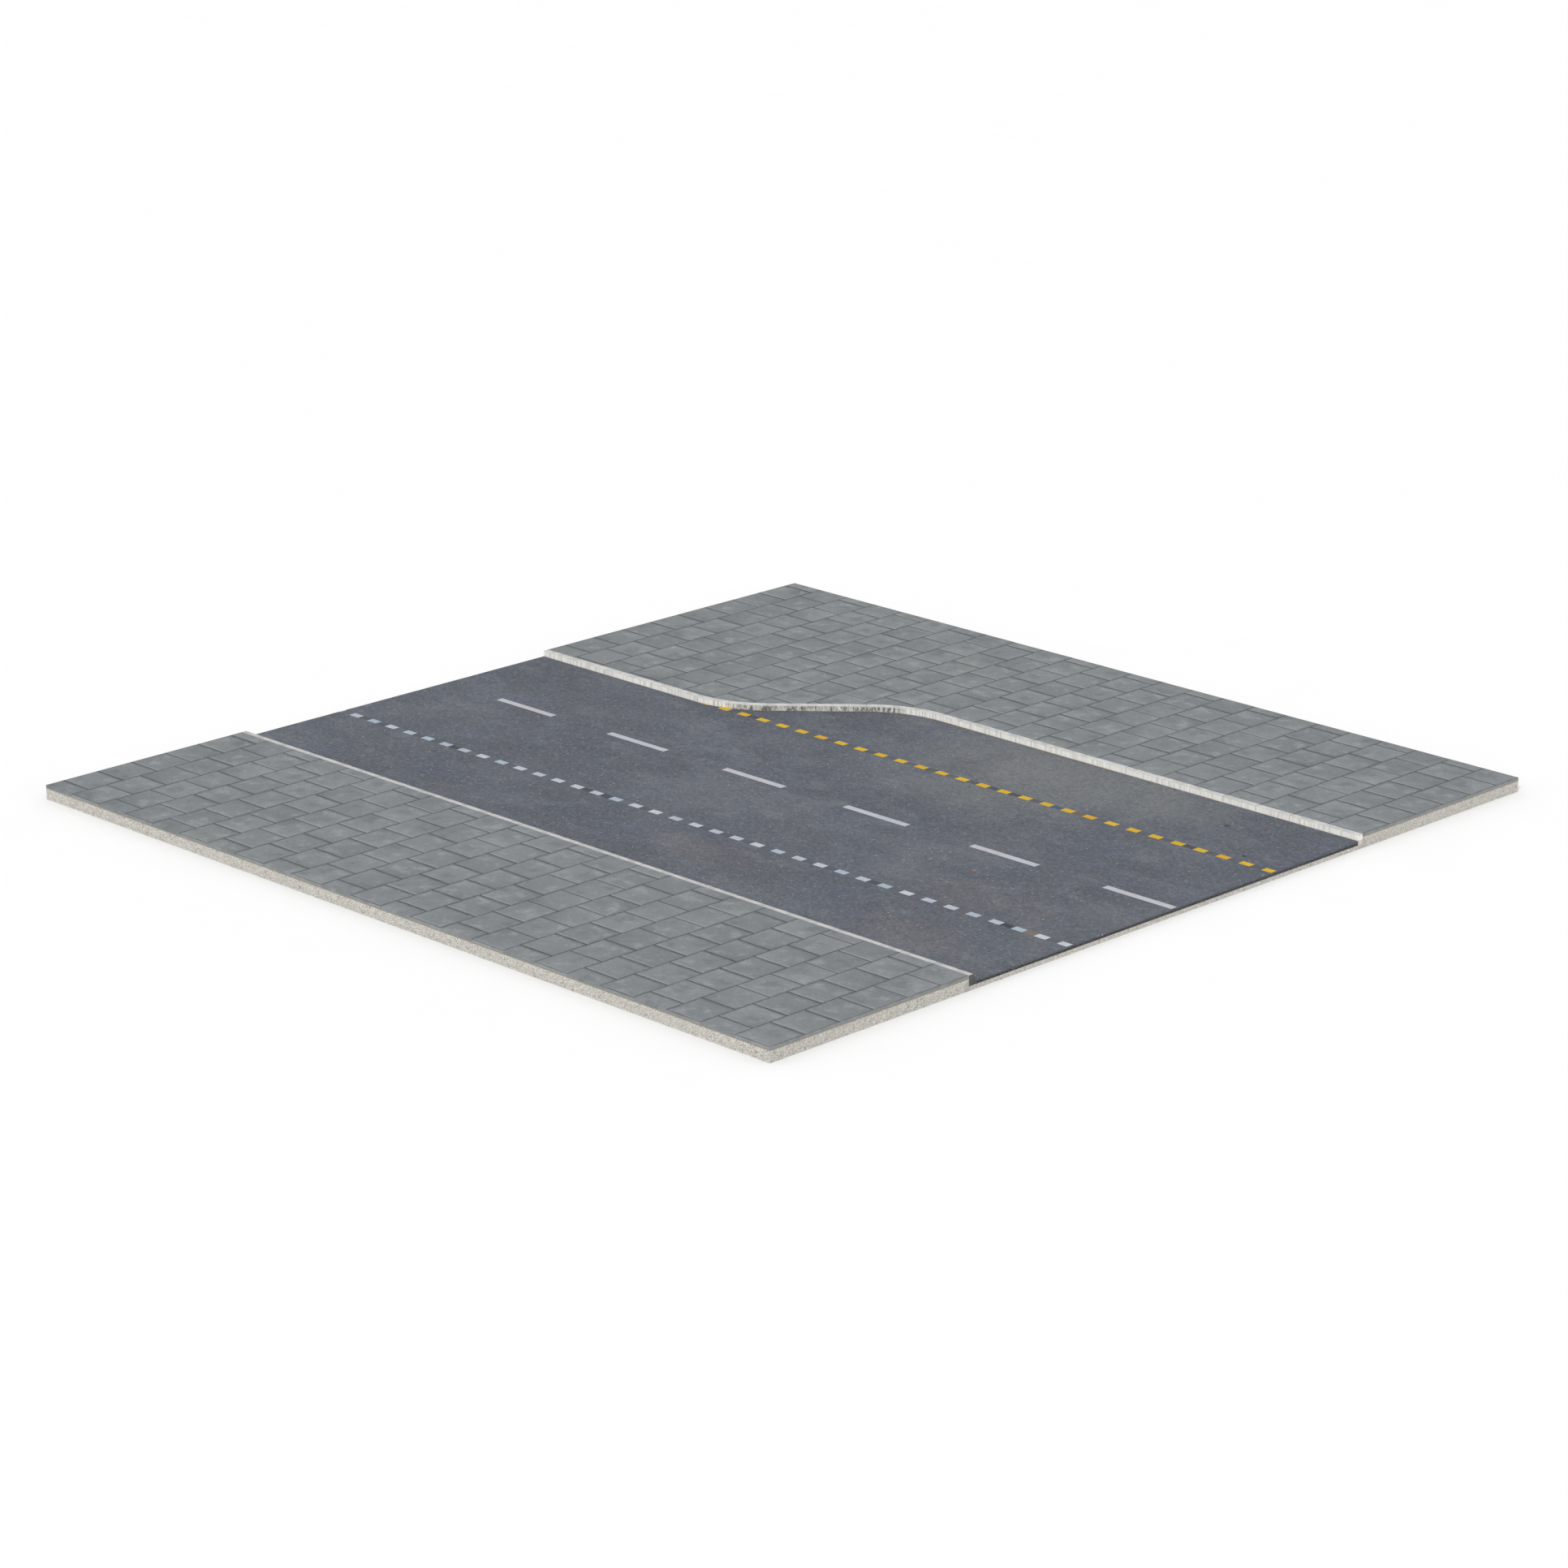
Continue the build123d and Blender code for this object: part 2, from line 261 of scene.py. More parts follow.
# finishes
def flagFinish(name, datum):
    # pressed concrete flags: each its own tone, soft pale clouds, dark blotches, dark bands in from the
    # joints, painted shade beside them and a painted highlight along one edge
    look = dict(light=(151, 155, 156), dark=(134, 139, 142), cloud=(174, 178, 179), blotch=(106, 111, 114),
                scratch=(188, 191, 192), band=(98, 103, 106), joint=(60, 64, 67), warm=(144, 148, 147))
    paint = Paint(name, look, 0.12)
    along = paint.x - plan["west"]
    course = paint.maths("FLOOR", along)
    broken = paint.maths("MODULO", course, 2.0)
    across = paint.y - datum - 0.5 + broken * 0.5
    row = paint.maths("FLOOR", across)
    u = along - course
    v = across - row
    shade = paint.chance(paint.vector(course, row, 0.0))
    second = paint.chance(paint.vector(course, row, 5.0))
    third = paint.chance(paint.vector(course, row, 9.0))
    sideU = paint.maths("MINIMUM", u, 1 - u)
    sideV = paint.maths("MINIMUM", v, 1 - v)
    edge = paint.maths("MINIMUM", sideU, sideV)
    # each flag reads its own stretch of the cloud pattern
    ownPlace = paint.vector(u + shade * 37.0, v + second * 29.0, paint.z)
    clouds = paint.noise(2.3, 3.0, 0.55, ownPlace)
    wisps = paint.noise(6.0, 4.0, 0.62, ownPlace)
    grain = paint.noise(60.0, 3.0, 0.7)
    coarse = paint.noise(17.0, 4.0, 0.7)
    paint.ground(shade, "dark", "light")
    paint.coat(paint.ramp(third, 0.8, 1.0, 0.0, 0.7), "warm")
    # one corner of each flag is darker than the opposite one
    slope = (u - 0.5) * (second - 0.5) + (v - 0.5) * (third - 0.5)
    paint.stain(slope, 0.02, 0.4, 0.55, "blotch")
    paint.stain(slope, -0.02, -0.4, 0.4, "cloud")
    cloudy = paint.ramp(clouds, 0.50, 0.74) * paint.ramp(edge, 0.02, 0.14)
    paint.coat(cloudy * 0.75, "cloud")
    paint.stain(wisps, 0.53, 0.72, 0.42, "cloud")
    offU = u - 0.32 - second * 0.36 + (clouds - 0.5) * 0.5
    offV = v - 0.32 - third * 0.36 + (wisps - 0.5) * 0.5
    middle = paint.ramp(offU * offU + offV * offV + (wisps - 0.5) * 0.12, 0.07, 0.0)
    paint.coat(middle * paint.ramp(shade, 0.6, 0.8) * 0.4, "blotch")
    paint.coat(paint.ramp(clouds + (coarse - 0.5) * 0.3, 0.44, 0.24) * 0.5, "blotch")
    slanted = paint.vector((u + v) * 22.0 + shade * 50, (u - v) * 1.6, second * 30.0)
    scratches = paint.noise(1.0, 2.0, 0.6, slanted)
    paint.stain(scratches, 0.66, 0.76, 0.3, "scratch")
    paint.coat((coarse - 0.5) * 1.3 + 0.2, "blotch")
    # a soft dark band in from two edges, painted shade beside the joints, and a dark line at each joint,
    # heavier at the broken ones
    bandU = paint.ramp(sideU + (wisps - 0.5) * 0.12, 0.07, 0.0) * paint.ramp(clouds, 0.35, 0.6)
    bandV = paint.ramp(1 - v + (wisps - 0.5) * 0.14, 0.13, 0.0) * paint.ramp(second, 0.2, 0.6)
    flat = paint.ramp(paint.facing(2), 0.3, 0.8)
    paint.coat(paint.maths("MAXIMUM", bandU * 0.6, bandV * 0.72) * flat, "band")
    # painted highlight: a pale strip along one edge of some flags, as if the arris caught the light
    paintedEdgeHighlight = paint.ramp(v + (wisps - 0.5) * 0.06, 0.13, 0.04) * paint.ramp(third, 0.2, 0.7)
    paint.coat(paintedEdgeHighlight * flat * 0.34, "cloud")
    # painted shade: a soft dark strip beside the joints between rows
    shadow = paint.ramp(sideV + (wisps - 0.5) * 0.05, 0.05, 0.01) * paint.ramp(clouds, 0.46, 0.62)
    paint.coat(shadow * paint.ramp(second, 0.3, 0.6) * flat * 0.6, "joint")
    lineV = paint.ramp(sideV + (coarse - 0.5) * 0.02, 0.022, 0.009) * 0.92
    lineU = paint.ramp(sideU + (coarse - 0.5) * 0.02, 0.017, 0.006) * 0.74
    paint.coat(paint.maths("MAXIMUM", lineU, lineV) * flat, "joint")
    paint.coat((grain - 0.5) * 0.9 + 0.2, "blotch")
    relief = grain * 0.6 + coarse * 0.8 + wisps * 0.6
    return paint.finish(paint.ramp(grain, 0.3, 0.7, 0.8, 0.94), relief, 0.0012, 0.5)


def asphaltFinish(name, specks, spots):
    # worn asphalt: bound stones at two sizes, slow drifts of colour, wandering pale, warm and bluish pools
    look = dict(base=(98, 103, 112), dark=(84, 88, 98), pale=(120, 125, 132), warm=(117, 112, 114),
                blue=(88, 98, 118), dust=(126, 129, 129), channel=(66, 68, 78), silt=(124, 112, 94),
                gap=(50, 53, 61), stone=(178, 180, 182), fine=(188, 186, 180), rust=(176, 122, 92))
    # pools: x, y, reach along X, reach along Y, amount, colour; drops: x, y, reach, colour
    pools = ((3.8, 5.2, 4.8, 2.6, 0.85, "dust"), (-1.2, -1.6, 1.7, 2.2, 0.45, "pale"),
             (3.2, 2.5, 3.8, 1.1, 0.42, "dust"), (7.4, 5.6, 1.8, 0.8, 0.4, "dust"),
             (4.6, -4.6, 1.8, 0.9, 0.4, "dark"), (-8.6, 1.6, 2.6, 0.7, 0.35, "dark"),
             (-11.0, -2.4, 1.6, 1.2, 0.35, "pale"), (9.0, -5.2, 2.6, 0.9, 0.42, "warm"),
             (1.8, -4.6, 1.9, 0.8, 0.35, "warm"), (8.6, -2.5, 2.4, 0.8, 0.35, "warm"))
    drops = ((9.18, 5.16, 0.09, "gap"), (10.84, 3.78, 0.075, "gap"), (7.2, -1.22, 0.06, "rust"))
    paint = Paint(name, look, 0.12)
    wander = paint.noise(0.75, 4.0, 0.6)
    drift = paint.noise(0.34, 4.0, 0.6, stretch=(0.7, 1.3, 1.0))
    patches = paint.noise(1.3, 5.0, 0.62, stretch=(0.7, 1.2, 1.0))
    mottle = paint.noise(5.5, 5.0, 0.7)
    grit = paint.noise(13.0, 6.0, 0.85)
    warmDrift = paint.noise(0.5, 4.0, 0.62, at=paint.vector(paint.x + 31.0, paint.y, paint.z))
    stone = paint.stones(95.0)
    fine = paint.stones(260.0)
    gap = paint.stones(95.0, "Distance", feature="DISTANCE_TO_EDGE")
    paint.ground(paint.ramp(drift, 0.34, 0.66), "dark", "base")
    paint.stain(drift, 0.52, 0.74, 0.4, "pale")
    paint.stain(patches, 0.49, 0.72, 0.62, "pale")
    paint.stain(patches, 0.46, 0.28, 0.6, "dark")
    paint.stain(warmDrift, 0.5, 0.3, 0.55, "blue")
    smear = paint.noise(1.2, 5.0, 0.68, at=paint.vector(paint.x * 0.5 + 9.0, paint.y * 1.5, paint.z))
    paint.stain(smear, 0.44, 0.30, 0.5, "dark")
    paint.stain(smear, 0.56, 0.70, 0.3, "pale")
    tinge = paint.noise(2.4, 4.0, 0.65, at=paint.vector(paint.x, paint.y + 17.0, paint.z))
    paint.stain(tinge, 0.54, 0.74, 0.3, "warm")
    paint.stain(tinge, 0.48, 0.30, 0.4, "blue")
    for x, y, reachX, reachY, amount, part in pools:
        away = paint.away(x, y, reachX, reachY) + (wander - 0.5) * 1.6
        paint.coat(paint.ramp(away, 1.25, 0.15) * amount, part)
    paint.stain(mottle, 0.50, 0.70, 0.4, "pale")
    paint.stain(mottle, 0.50, 0.30, 0.5, "dark")
    paint.stain(grit, 0.50, 0.67, 0.38, "stone")
    paint.stain(grit, 0.50, 0.33, 0.56, "gap")
    # the channel darker in a band out from the near kerb's face
    channel = paint.ramp(paint.y + (mottle - 0.5) * 0.16, plan["nearFace"] + 0.24, plan["nearFace"] + 0.03)
    paint.coat(channel * 0.6, "channel")
    # silt along the lay-by's kerb
    layByFace = plan["layByFace"]
    silt = paint.ramp(paint.y + (grit - 0.5) * 0.08, layByFace - 0.09, layByFace - 0.02)
    paint.coat(paint.ramp(wander, 0.42, 0.62) * silt * 0.7, "silt")
    # single pale stones, a few dark spots of oil
    chip = paint.ramp(paint.stones(6.0, "Distance"), 0.15, 0.09) * paint.ramp(paint.stones(6.0), 0.72, 0.76)
    paint.coat(chip * specks, "stone")
    spot = paint.ramp(paint.stones(0.9, "Distance"), 0.055, 0.03) * paint.ramp(paint.stones(0.9), 0.5, 0.55)
    paint.coat(spot * spots, "gap")
    for x, y, reach, part in drops:
        paint.coat(paint.spot(x, y, reach) * 0.95, part)
    paint.stain(fine, 0.86, 1.0, 0.5, "fine")
    paint.coat(paint.ramp(stone, 0.0, 1.0, 0.0, 0.25), "pale")
    paint.stain(gap, 0.10, 0.0, 0.4, "gap")
    relief = paint.ramp(gap, 0.0, 0.3) * 0.7 + stone * 0.3 + fine * 0.15
    return paint.finish(paint.ramp(mottle, 0.3, 0.7, 0.84, 0.96), relief, 0.0015, 0.5)


def kerbFinish(name, streaks):
    # pale precast concrete: the face painted lighter than the top as painted light, smudges and runs on top,
    # streaks that run down the face, dirt beside the joints
    look = dict(face=(226, 224, 219), dull=(192, 189, 182), run=(146, 140, 130), clean=(243, 241, 237),
                black=(82, 79, 76), grey=(160, 156, 150), foot=(150, 138, 118), top=(216, 216, 213),
                topDark=(190, 191, 190), topRun=(118, 118, 116), topPale=(230, 230, 228),
                topNear=(120, 122, 124), paintedEndShadow=(44, 47, 48), grain=(120, 118, 112), dirt=(112, 112, 108))
    # the face is painted lighter, a painted light for a face that stands away from the sun; the S-bend's
    # weathering fades out over these stretches of X
    paintedFaceLight, bendWest, bendEast = 0.84, (-5.8, -5.0), (-1.7, -2.4)
    paint = Paint(name, look, 0.12)
    toEnd = paint.node("ShaderNodeAttribute", {"attribute_name": "toEnd"}, {}, "Fac")
    top = paint.ramp(paint.facing(2), 0.35, 0.8)
    runs = paint.noise(9.0, 4.0, 0.65, stretch=(1.0, 1.0, 0.16))
    fineRuns = paint.noise(44.0, 4.0, 0.7, stretch=(1.0, 1.0, 0.08))
    smudge = paint.noise(3.2, 4.0, 0.6)
    comb = paint.noise(15.0, 3.0, 0.6, stretch=(1.0, 1.0, 0.05))
    grain = paint.noise(130.0, 3.0, 0.7)
    paint.ground(paint.ramp(runs, 0.50, 0.76) * 0.6, "face", "dull", paintedFaceLight)
    paint.coat(paint.ramp(fineRuns, 0.52, 0.78) * (0.34 + streaks * 0.4), "run", paintedFaceLight)
    paint.coat(paint.ramp(comb, 0.50, 0.64) * (0.24 + streaks * 0.4), "run", paintedFaceLight)
    paint.stain(comb, 0.46, 0.34, 0.7, "clean", paintedFaceLight)
    paint.stain(fineRuns, 0.46, 0.24, 0.5, "clean", paintedFaceLight)
    arris = paint.ramp(paint.z + (comb - 0.5) * 0.02, plan["kerbTop"] - 0.034, plan["kerbTop"] - 0.02)
    paint.coat(arris * 0.4, "run", paintedFaceLight)
    # the S-bend's middle is greyer, with black weathering in spots and short runs under the arris
    bend = paint.ramp(paint.x, *bendWest) * paint.ramp(paint.x, *bendEast) * streaks
    paint.coat(bend * paint.ramp(runs, 0.3, 0.6, 0.3, 0.75), "grey", paintedFaceLight)
    blobs = paint.noise(20.0, 4.0, 0.7, stretch=(1.0, 1.0, 0.5))
    spots = comb * 0.35 + blobs * 0.65 + (smudge - 0.5) * 0.3
    below = paint.ramp(paint.z + (runs - 0.5) * 0.06, plan["kerbTop"] - 0.02, plan["kerbTop"] - 0.045)
    paint.coat(paint.ramp(spots, 0.43, 0.60) * below * bend, "black", paintedFaceLight)
    foot = paint.ramp(paint.z + (runs - 0.5) * 0.03, plan["roadTop"] + 0.03, plan["roadTop"])
    paint.coat(foot * 0.5, "foot", paintedFaceLight)
    face = paint.colour
    paint.ground(paint.ramp(smudge, 0.4, 0.66), "top", "topDark")
    paint.coat(paint.ramp(runs, 0.56, 0.8) * (0.4 + streaks * 0.3), "topRun")
    paint.stain(fineRuns, 0.55, 0.78, 0.25, "topPale")
    paint.coat(paint.ramp(paint.y, 0.0, plan["nearFace"]) * 0.14, "topNear")
    # painted light: the top takes its own darker colours, the face the lighter ones, by the way each faces
    # the sun
    paint.colour = paint.mix(top, face, paint.colour)
    # painted shadow: the near kerb's open end, facing +X, painted nearly black
    paintedEndShadow = paint.ramp(paint.facing(0), 0.5, 0.9) * paint.ramp(paint.y, 0.0, -1.0)
    paint.coat(paintedEndShadow * 0.92, "paintedEndShadow")
    grained = paint.mix(0.2, paint.colour, tone(*look["grain"]))
    paint.colour = paint.mix((grain - 0.5) * 0.8 + 0.2, paint.colour, grained)
    dirt = paint.ramp(toEnd + (runs - 0.5) * 0.02, 0.014, 0.002) * paint.ramp(smudge, 0.35, 0.6, 0.05, 0.3)
    paint.coat(dirt, "dirt")
    relief = grain * 0.5 + fineRuns * 0.5
    return paint.finish(paint.ramp(grain, 0.3, 0.7, 0.76, 0.9), relief, 0.001, 0.45)


def lineFinish(name, base, pale, worn, odd):
    # screeded thermoplastic: each mark its own shade, rubbed through to the stones in specks
    paint = Paint(name, dict(base=base, pale=pale, worn=worn, odd=odd, stone=(112, 114, 118)))
    cell = paint.maths("FLOOR", (paint.x - plan["west"] - 0.3) * 1.5)
    shade = paint.chance(paint.vector(cell, 2.0, 0.0))
    turn = paint.chance(paint.vector(cell, 7.0, 0.0))
    wear = paint.noise(42.0, 4.0, 0.72)
    broad = paint.noise(6.0, 3.0, 0.6)
    stone = paint.stones(130.0)
    paint.ground(shade, "base", "pale")
    paint.stain(turn, 0.72, 0.86, 0.75, "odd")
    paint.stain(broad, 0.5, 0.72, 0.35, "worn")
    rubbed = paint.ramp(wear + (stone - 0.5) * 0.25 + (broad - 0.5) * 0.2, 0.66, 0.78)
    paint.coat(rubbed * 0.7, "stone")
    relief = wear * 0.6 + stone * 0.4
    return paint.finish(paint.ramp(wear, 0.3, 0.7, 0.6, 0.8), relief, 0.0008, 0.5)


def patchFinish():
    # masking paint between the short marks: dark grey, with a few nearly black, blue or rusty ones
    look = dict(dark=(84, 87, 93), light=(104, 107, 112), coal=(66, 68, 74), worn=(106, 109, 115),
                stone=(118, 120, 124), black=(56, 58, 64), rust=(146, 118, 102), grey=(66, 66, 72),
                blue=(74, 88, 124), brown=(134, 108, 86))
    # x, y, reach, amount, colour
    odd = ((10.2, -3.4, 0.3, 0.7, "black"), (10.9, -3.4, 0.26, 0.7, "rust"), (4.2, 3.4, 0.3, 0.6, "grey"),
           (5.55, 3.4, 0.26, 0.7, "blue"), (6.2, 3.4, 0.26, 0.6, "brown"))
    paint = Paint("darkMaskingPaint", look)
    cell = paint.maths("FLOOR", (paint.x - plan["west"] + 0.05) * 1.5)
    line = paint.maths("SIGN", paint.y + 1.0)
    shade = paint.chance(paint.vector(cell, line, 3.0))
    tint = paint.chance(paint.vector(cell, line, 9.0))
    wear = paint.noise(30.0, 4.0, 0.7)
    broad = paint.noise(5.0, 3.0, 0.6)
    stone = paint.stones(110.0)
    paint.ground(shade, "dark", "light")
    paint.stain(tint, 0.84, 0.88, 0.7, "coal")
    for x, y, reach, amount, part in odd:
        paint.coat(paint.spot(x, y, reach) * amount, part)
    paint.stain(broad, 0.5, 0.66, 0.5, "worn")
    paint.coat(paint.ramp(wear + (stone - 0.5) * 0.3, 0.6, 0.76) * 0.6, "stone")
    return paint.finish(0.88, wear * 0.5 + stone * 0.5, 0.0008, 0.5)


def rockFinish(name, pale, dark, matrix, size):
    # a cut through a granular course: angular stones of mixed size in finer matrix
    look = dict(pale=pale, dark=dark, matrix=matrix, gap=darker(matrix, 0.6), hollow=darker(matrix, 0.62))
    paint = Paint(name, look)
    bent = paint.noise(size * 0.6, 2.0, 0.5) - 0.5
    place = paint.vector(paint.x + bent * (0.4 / size), paint.y + bent * (0.3 / size), paint.z)
    big = paint.stones(size, at=place)
    bigGap = paint.stones(size, "Distance", place, feature="DISTANCE_TO_EDGE")
    small = paint.stones(size * 3.1, at=place)
    smallGap = paint.stones(size * 3.1, "Distance", place, feature="DISTANCE_TO_EDGE")
    dust = paint.noise(size * 9, 3.0, 0.7)
    paint.ground(small, "matrix", "pale")
    fines = paint.colour
    paint.ground(big, "pale", "dark")
    pick = paint.ramp(big + (small - 0.5) * 0.3, 0.5, 0.58)
    paint.colour = paint.mix(pick, paint.colour, fines)
    gaps = paint.ramp(bigGap, 0.07, 0.0) * (1 - pick)
    gaps = paint.maths("MAXIMUM", gaps, paint.ramp(smallGap, 0.08, 0.0) * pick)
    paint.coat(gaps * 0.7, "gap")
    # painted shade: darker where the cut face is eased in between the stones
    hollow = paint.node("ShaderNodeAttribute", {"attribute_name": "hollow"}, {}, "Fac")
    paint.stain(hollow, 0.3, 1.0, 0.75, "hollow")
    paint.stain(dust, 0.45, 0.75, 0.35, "matrix")
    relief = paint.ramp(bigGap, 0.0, 0.25) * (1 - pick) + paint.ramp(smallGap, 0.0, 0.25) * pick * 0.5
    return paint.finish(0.92, relief + dust * 0.2, 0.006, 0.8)


def castFinish(name, base, dark, holes, cut=None):
    # site concrete or mortar: mottled, sandy, with small air holes; upright cut faces may differ in colour
    paint = Paint(name, dict(base=base, dark=dark, pit=darker(dark, 0.5)))
    mottle = paint.noise(4.0, 5.0, 0.65)
    sand = paint.noise(160.0, 3.0, 0.7)
    hole = paint.stones(34.0, "Distance")
    paint.ground(paint.ramp(mottle, 0.35, 0.68), "base", "dark")
    if cut:
        cutFace = paint.mix(paint.ramp(mottle, 0.3, 0.7), tone(*cut), tone(*darker(cut, 0.88)))
        paint.colour = paint.mix(paint.ramp(paint.facing(2), 0.6, 0.3), paint.colour, cutFace)
    paint.stain(sand, 0.4, 0.7, 0.3, "dark")
    pit = paint.ramp(hole, 0.16, 0.08) * holes
    paint.coat(pit, "pit")
    return paint.finish(0.9, sand * 0.5 - pit * 2.0, 0.0015, 0.5)


finishes = dict(
    nearFlags=flagFinish("nearFlagConcrete", plan["nearEdge"]),
    farFlags=flagFinish("farFlagConcrete", plan["layByBack"]),
    lanes=asphaltFinish("laneAsphalt", 0.9, 0.0),
    layBy=asphaltFinish("layByAsphalt", 0.7, 0.9),
    binder=rockFinish("binderAsphalt", (90, 90, 92), (126, 124, 120), (64, 64, 66), 42.0),
    kerb=kerbFinish("kerbConcrete", 0.12),
    taperKerb=kerbFinish("streakedKerbConcrete", 0.95),
    white=lineFinish("whiteLinePlastic", (184, 188, 199), (192, 194, 200), (170, 172, 180), (190, 187, 190)),
    shortWhite=lineFinish("shortLinePlastic", (170, 181, 196), (198, 203, 209), (162, 170, 180),
                          (160, 180, 192)),
    yellow=lineFinish("yellowLinePlastic", (211, 170, 28), (220, 180, 44), (192, 154, 44), (214, 160, 36)),
    patch=patchFinish(),
    rock=rockFinish("crushedRock", (228, 226, 220), (204, 200, 192), (214, 209, 198), 26.0),
    sand=rockFinish("layingSand", (186, 180, 168), (168, 162, 150), (176, 170, 156), 240.0),
    bed=castFinish("bedConcrete", (202, 200, 195), (176, 174, 168), 0.8),
    mortar=castFinish("kerbMortar", (184, 182, 176), (152, 150, 144), 0.3),
    jointing=castFinish("flagJointing", (72, 75, 77), (52, 55, 57), 0.0, (158, 161, 162)))
print("finishes made:", len(finishes))


# CAD nodes whose shape is right take their finish
nodeFinish = dict(
    near_kerb_bed="bed", near_kerb_haunch="bed", far_kerb_bed="bed", far_kerb_haunch="bed",
    near_footway_laying_course="sand", far_footway_laying_course="sand",
    near_kerb_joint_mortar="mortar", far_kerb_joint_mortar="mortar",
    near_footway_jointing="jointing", far_footway_jointing="jointing", far_footway_bend_flags="farFlags")
for node, finish in nodeFinish.items():
    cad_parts[node].material_slots[0].material = finishes[finish]


# numpy surfaces
def addPiece(name, points, faces, finish, node, marks=None):
    # one mesh from points and faces; marks are numbers kept on its points for its finish
    mesh = bpy.data.meshes.new(name)
    mesh.from_pydata(np.asarray(points, float).reshape(-1, 3), [], faces)
    for attribute, values in (marks or {}).items():
        stored = mesh.attributes.new(attribute, "FLOAT", "POINT")
        stored.data.foreach_set("value", np.ravel(values).astype(np.float32))
    mesh.materials.append(finishes[finish])
    piece = bpy.data.objects.new(name, mesh)
    bpy.context.scene.collection.objects.link(piece)
    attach(piece, "root")
    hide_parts(node)
    print(name, len(mesh.vertices), "points", len(mesh.polygons), "faces")


def rolling(x, y, size, seed, waves=9):
    # gentle unevenness between -1 and 1: a scaled sum of plane sine waves about one size long, seeded
    dice = np.random.default_rng(seed)
    heading = dice.uniform(0, math.tau, waves)
    reach = size * dice.uniform(0.6, 1.6, waves)
    phase = dice.uniform(0, math.tau, waves)
    total = sum(np.sin(math.tau * (x * math.cos(h) + y * math.sin(h)) / r + p)
                for h, r, p in zip(heading, reach, phase))
    return np.clip(total / math.sqrt(waves) / 1.4, -1, 1)


def gridFaces(rows, columns, start=0):
    # quads of a grid of points, row by row, that face up where rows run along X and columns along Y
    index = start + np.arange(rows * columns).reshape(rows, columns)
    corners = [index[:-1, :-1], index[1:, :-1], index[1:, 1:], index[:-1, 1:]]
    return np.stack(corners, -1).reshape(-1, 4)


def shellFaces(index):
    # quads between each closed ring of points and the next, and a cap at each end; they point outwards where
    # the rings turn anticlockwise about the way from the first to the last
    closed = np.concatenate([index, index[:, :1]], 1)
    walls = np.stack([closed[:-1, :-1], closed[:-1, 1:], closed[1:, 1:], closed[1:, :-1]], -1)
    return walls.reshape(-1, 4).tolist() + [index[0, ::-1].tolist(), index[-1].tolist()]


def rimOf(rows, columns):
    # the grid's border points once round, anticlockwise seen from above
    index = np.arange(rows * columns).reshape(rows, columns)
    return np.concatenate([index[:-1, 0], index[-1, :-1], index[:0:-1, -1], index[0, :0:-1]])


def slabs(top, bottomZ, rows, columns, flare=0.0):
    # closed slabs from their top grids (count, rows, columns, 3), each with walls down to a flat underside
    count = len(top)
    cells = rows * columns
    rim = rimOf(rows, columns)
    flat = top.reshape(count, cells, 3)
    under = flat[:, rim].copy()
    middle = flat.mean(1, keepdims=True)
    outward = np.sign(under - middle) * flare
    under[..., :2] += outward[..., :2]
    under[..., 2] = bottomZ
    points = np.concatenate([flat, under], 1)
    stride = cells + len(rim)
    ring = np.arange(len(rim))
    following = np.roll(ring, -1)
    walls = np.stack([rim[ring], cells + ring, cells + following, rim[following]], -1)
    one = np.concatenate([gridFaces(rows, columns), walls])
    shift = (np.arange(count) * stride)[:, None, None]
    quads = (one[None] + shift).reshape(-1, 4).tolist()
    floors = (cells + ring[::-1])[None] + (np.arange(count) * stride)[:, None]
    return points.reshape(-1, 3), quads + floors.tolist()


# kerb lines: start, heading, length and radius of each stretch, with the footway on its left
def stretchEnd(stretch):
    # the point of the face at a stretch's full length
    x, y = alongKerb(stretch, np.array([stretch["length"]]), np.array([0.0]))
    return (x[0], y[0])


def alongKerb(stretch, distance, behind):
    # a point at a distance along the face and a depth behind it; on a bend both turn about its centre
    (startX, startY), heading, radius = stretch["start"], stretch["heading"], stretch["radius"]
    if radius is None:
        x = startX + distance * math.cos(heading) - behind * math.sin(heading)
        return x, startY + distance * math.sin(heading) + behind * math.cos(heading)
    turned = heading + distance / radius
    x = startX - radius * math.sin(heading) - (behind - radius) * np.sin(turned)
    return x, startY + radius * math.cos(heading) + (behind - radius) * np.cos(turned)


def kerbLines():
    # each far stretch starts where the last one ends, turned by its length over its radius
    bendLength = bendRadius * bendTurn
    lines = {"near": dict(start=(plan["east"], plan["nearFace"]), heading=math.pi, radius=None,
                          length=plan["east"] - plan["west"])}
    stretches = (("through", bendStart - plan["west"], None), ("external", bendLength, bendRadius),
                 ("taper", taperLength, None), ("internal", bendLength, -bendRadius),
                 ("layBy", plan["east"] - bendEnd, None))
    start, heading = (plan["west"], plan["throughFace"]), 0.0
    for name, length, radius in stretches:
        lines[name] = dict(start=start, heading=heading, radius=radius, length=length)
        start = stretchEnd(lines[name])
        heading += length / radius if radius else 0.0
    return lines


lines = kerbLines()
farLines = [lines[name] for name in ("through", "external", "taper", "internal", "layBy")]


# kerb units
kerbUnit = dict(pitch=1.0, shortest=0.3, arris=0.025, backArris=0.004, wear=0.0016, wearFoot=0.03,
                wearSize=1.1, wearSeed=31, chip=0.006, chipSize=0.9, chipSeed=47, chipFrom=0.62,
                arrisReach=0.02, chipReach=0.06, settle=0.0012, settleHeight=0.1, endRound=0.0025,
                endReach=0.004, footSink=0.002, footRise=0.012, stations=15)


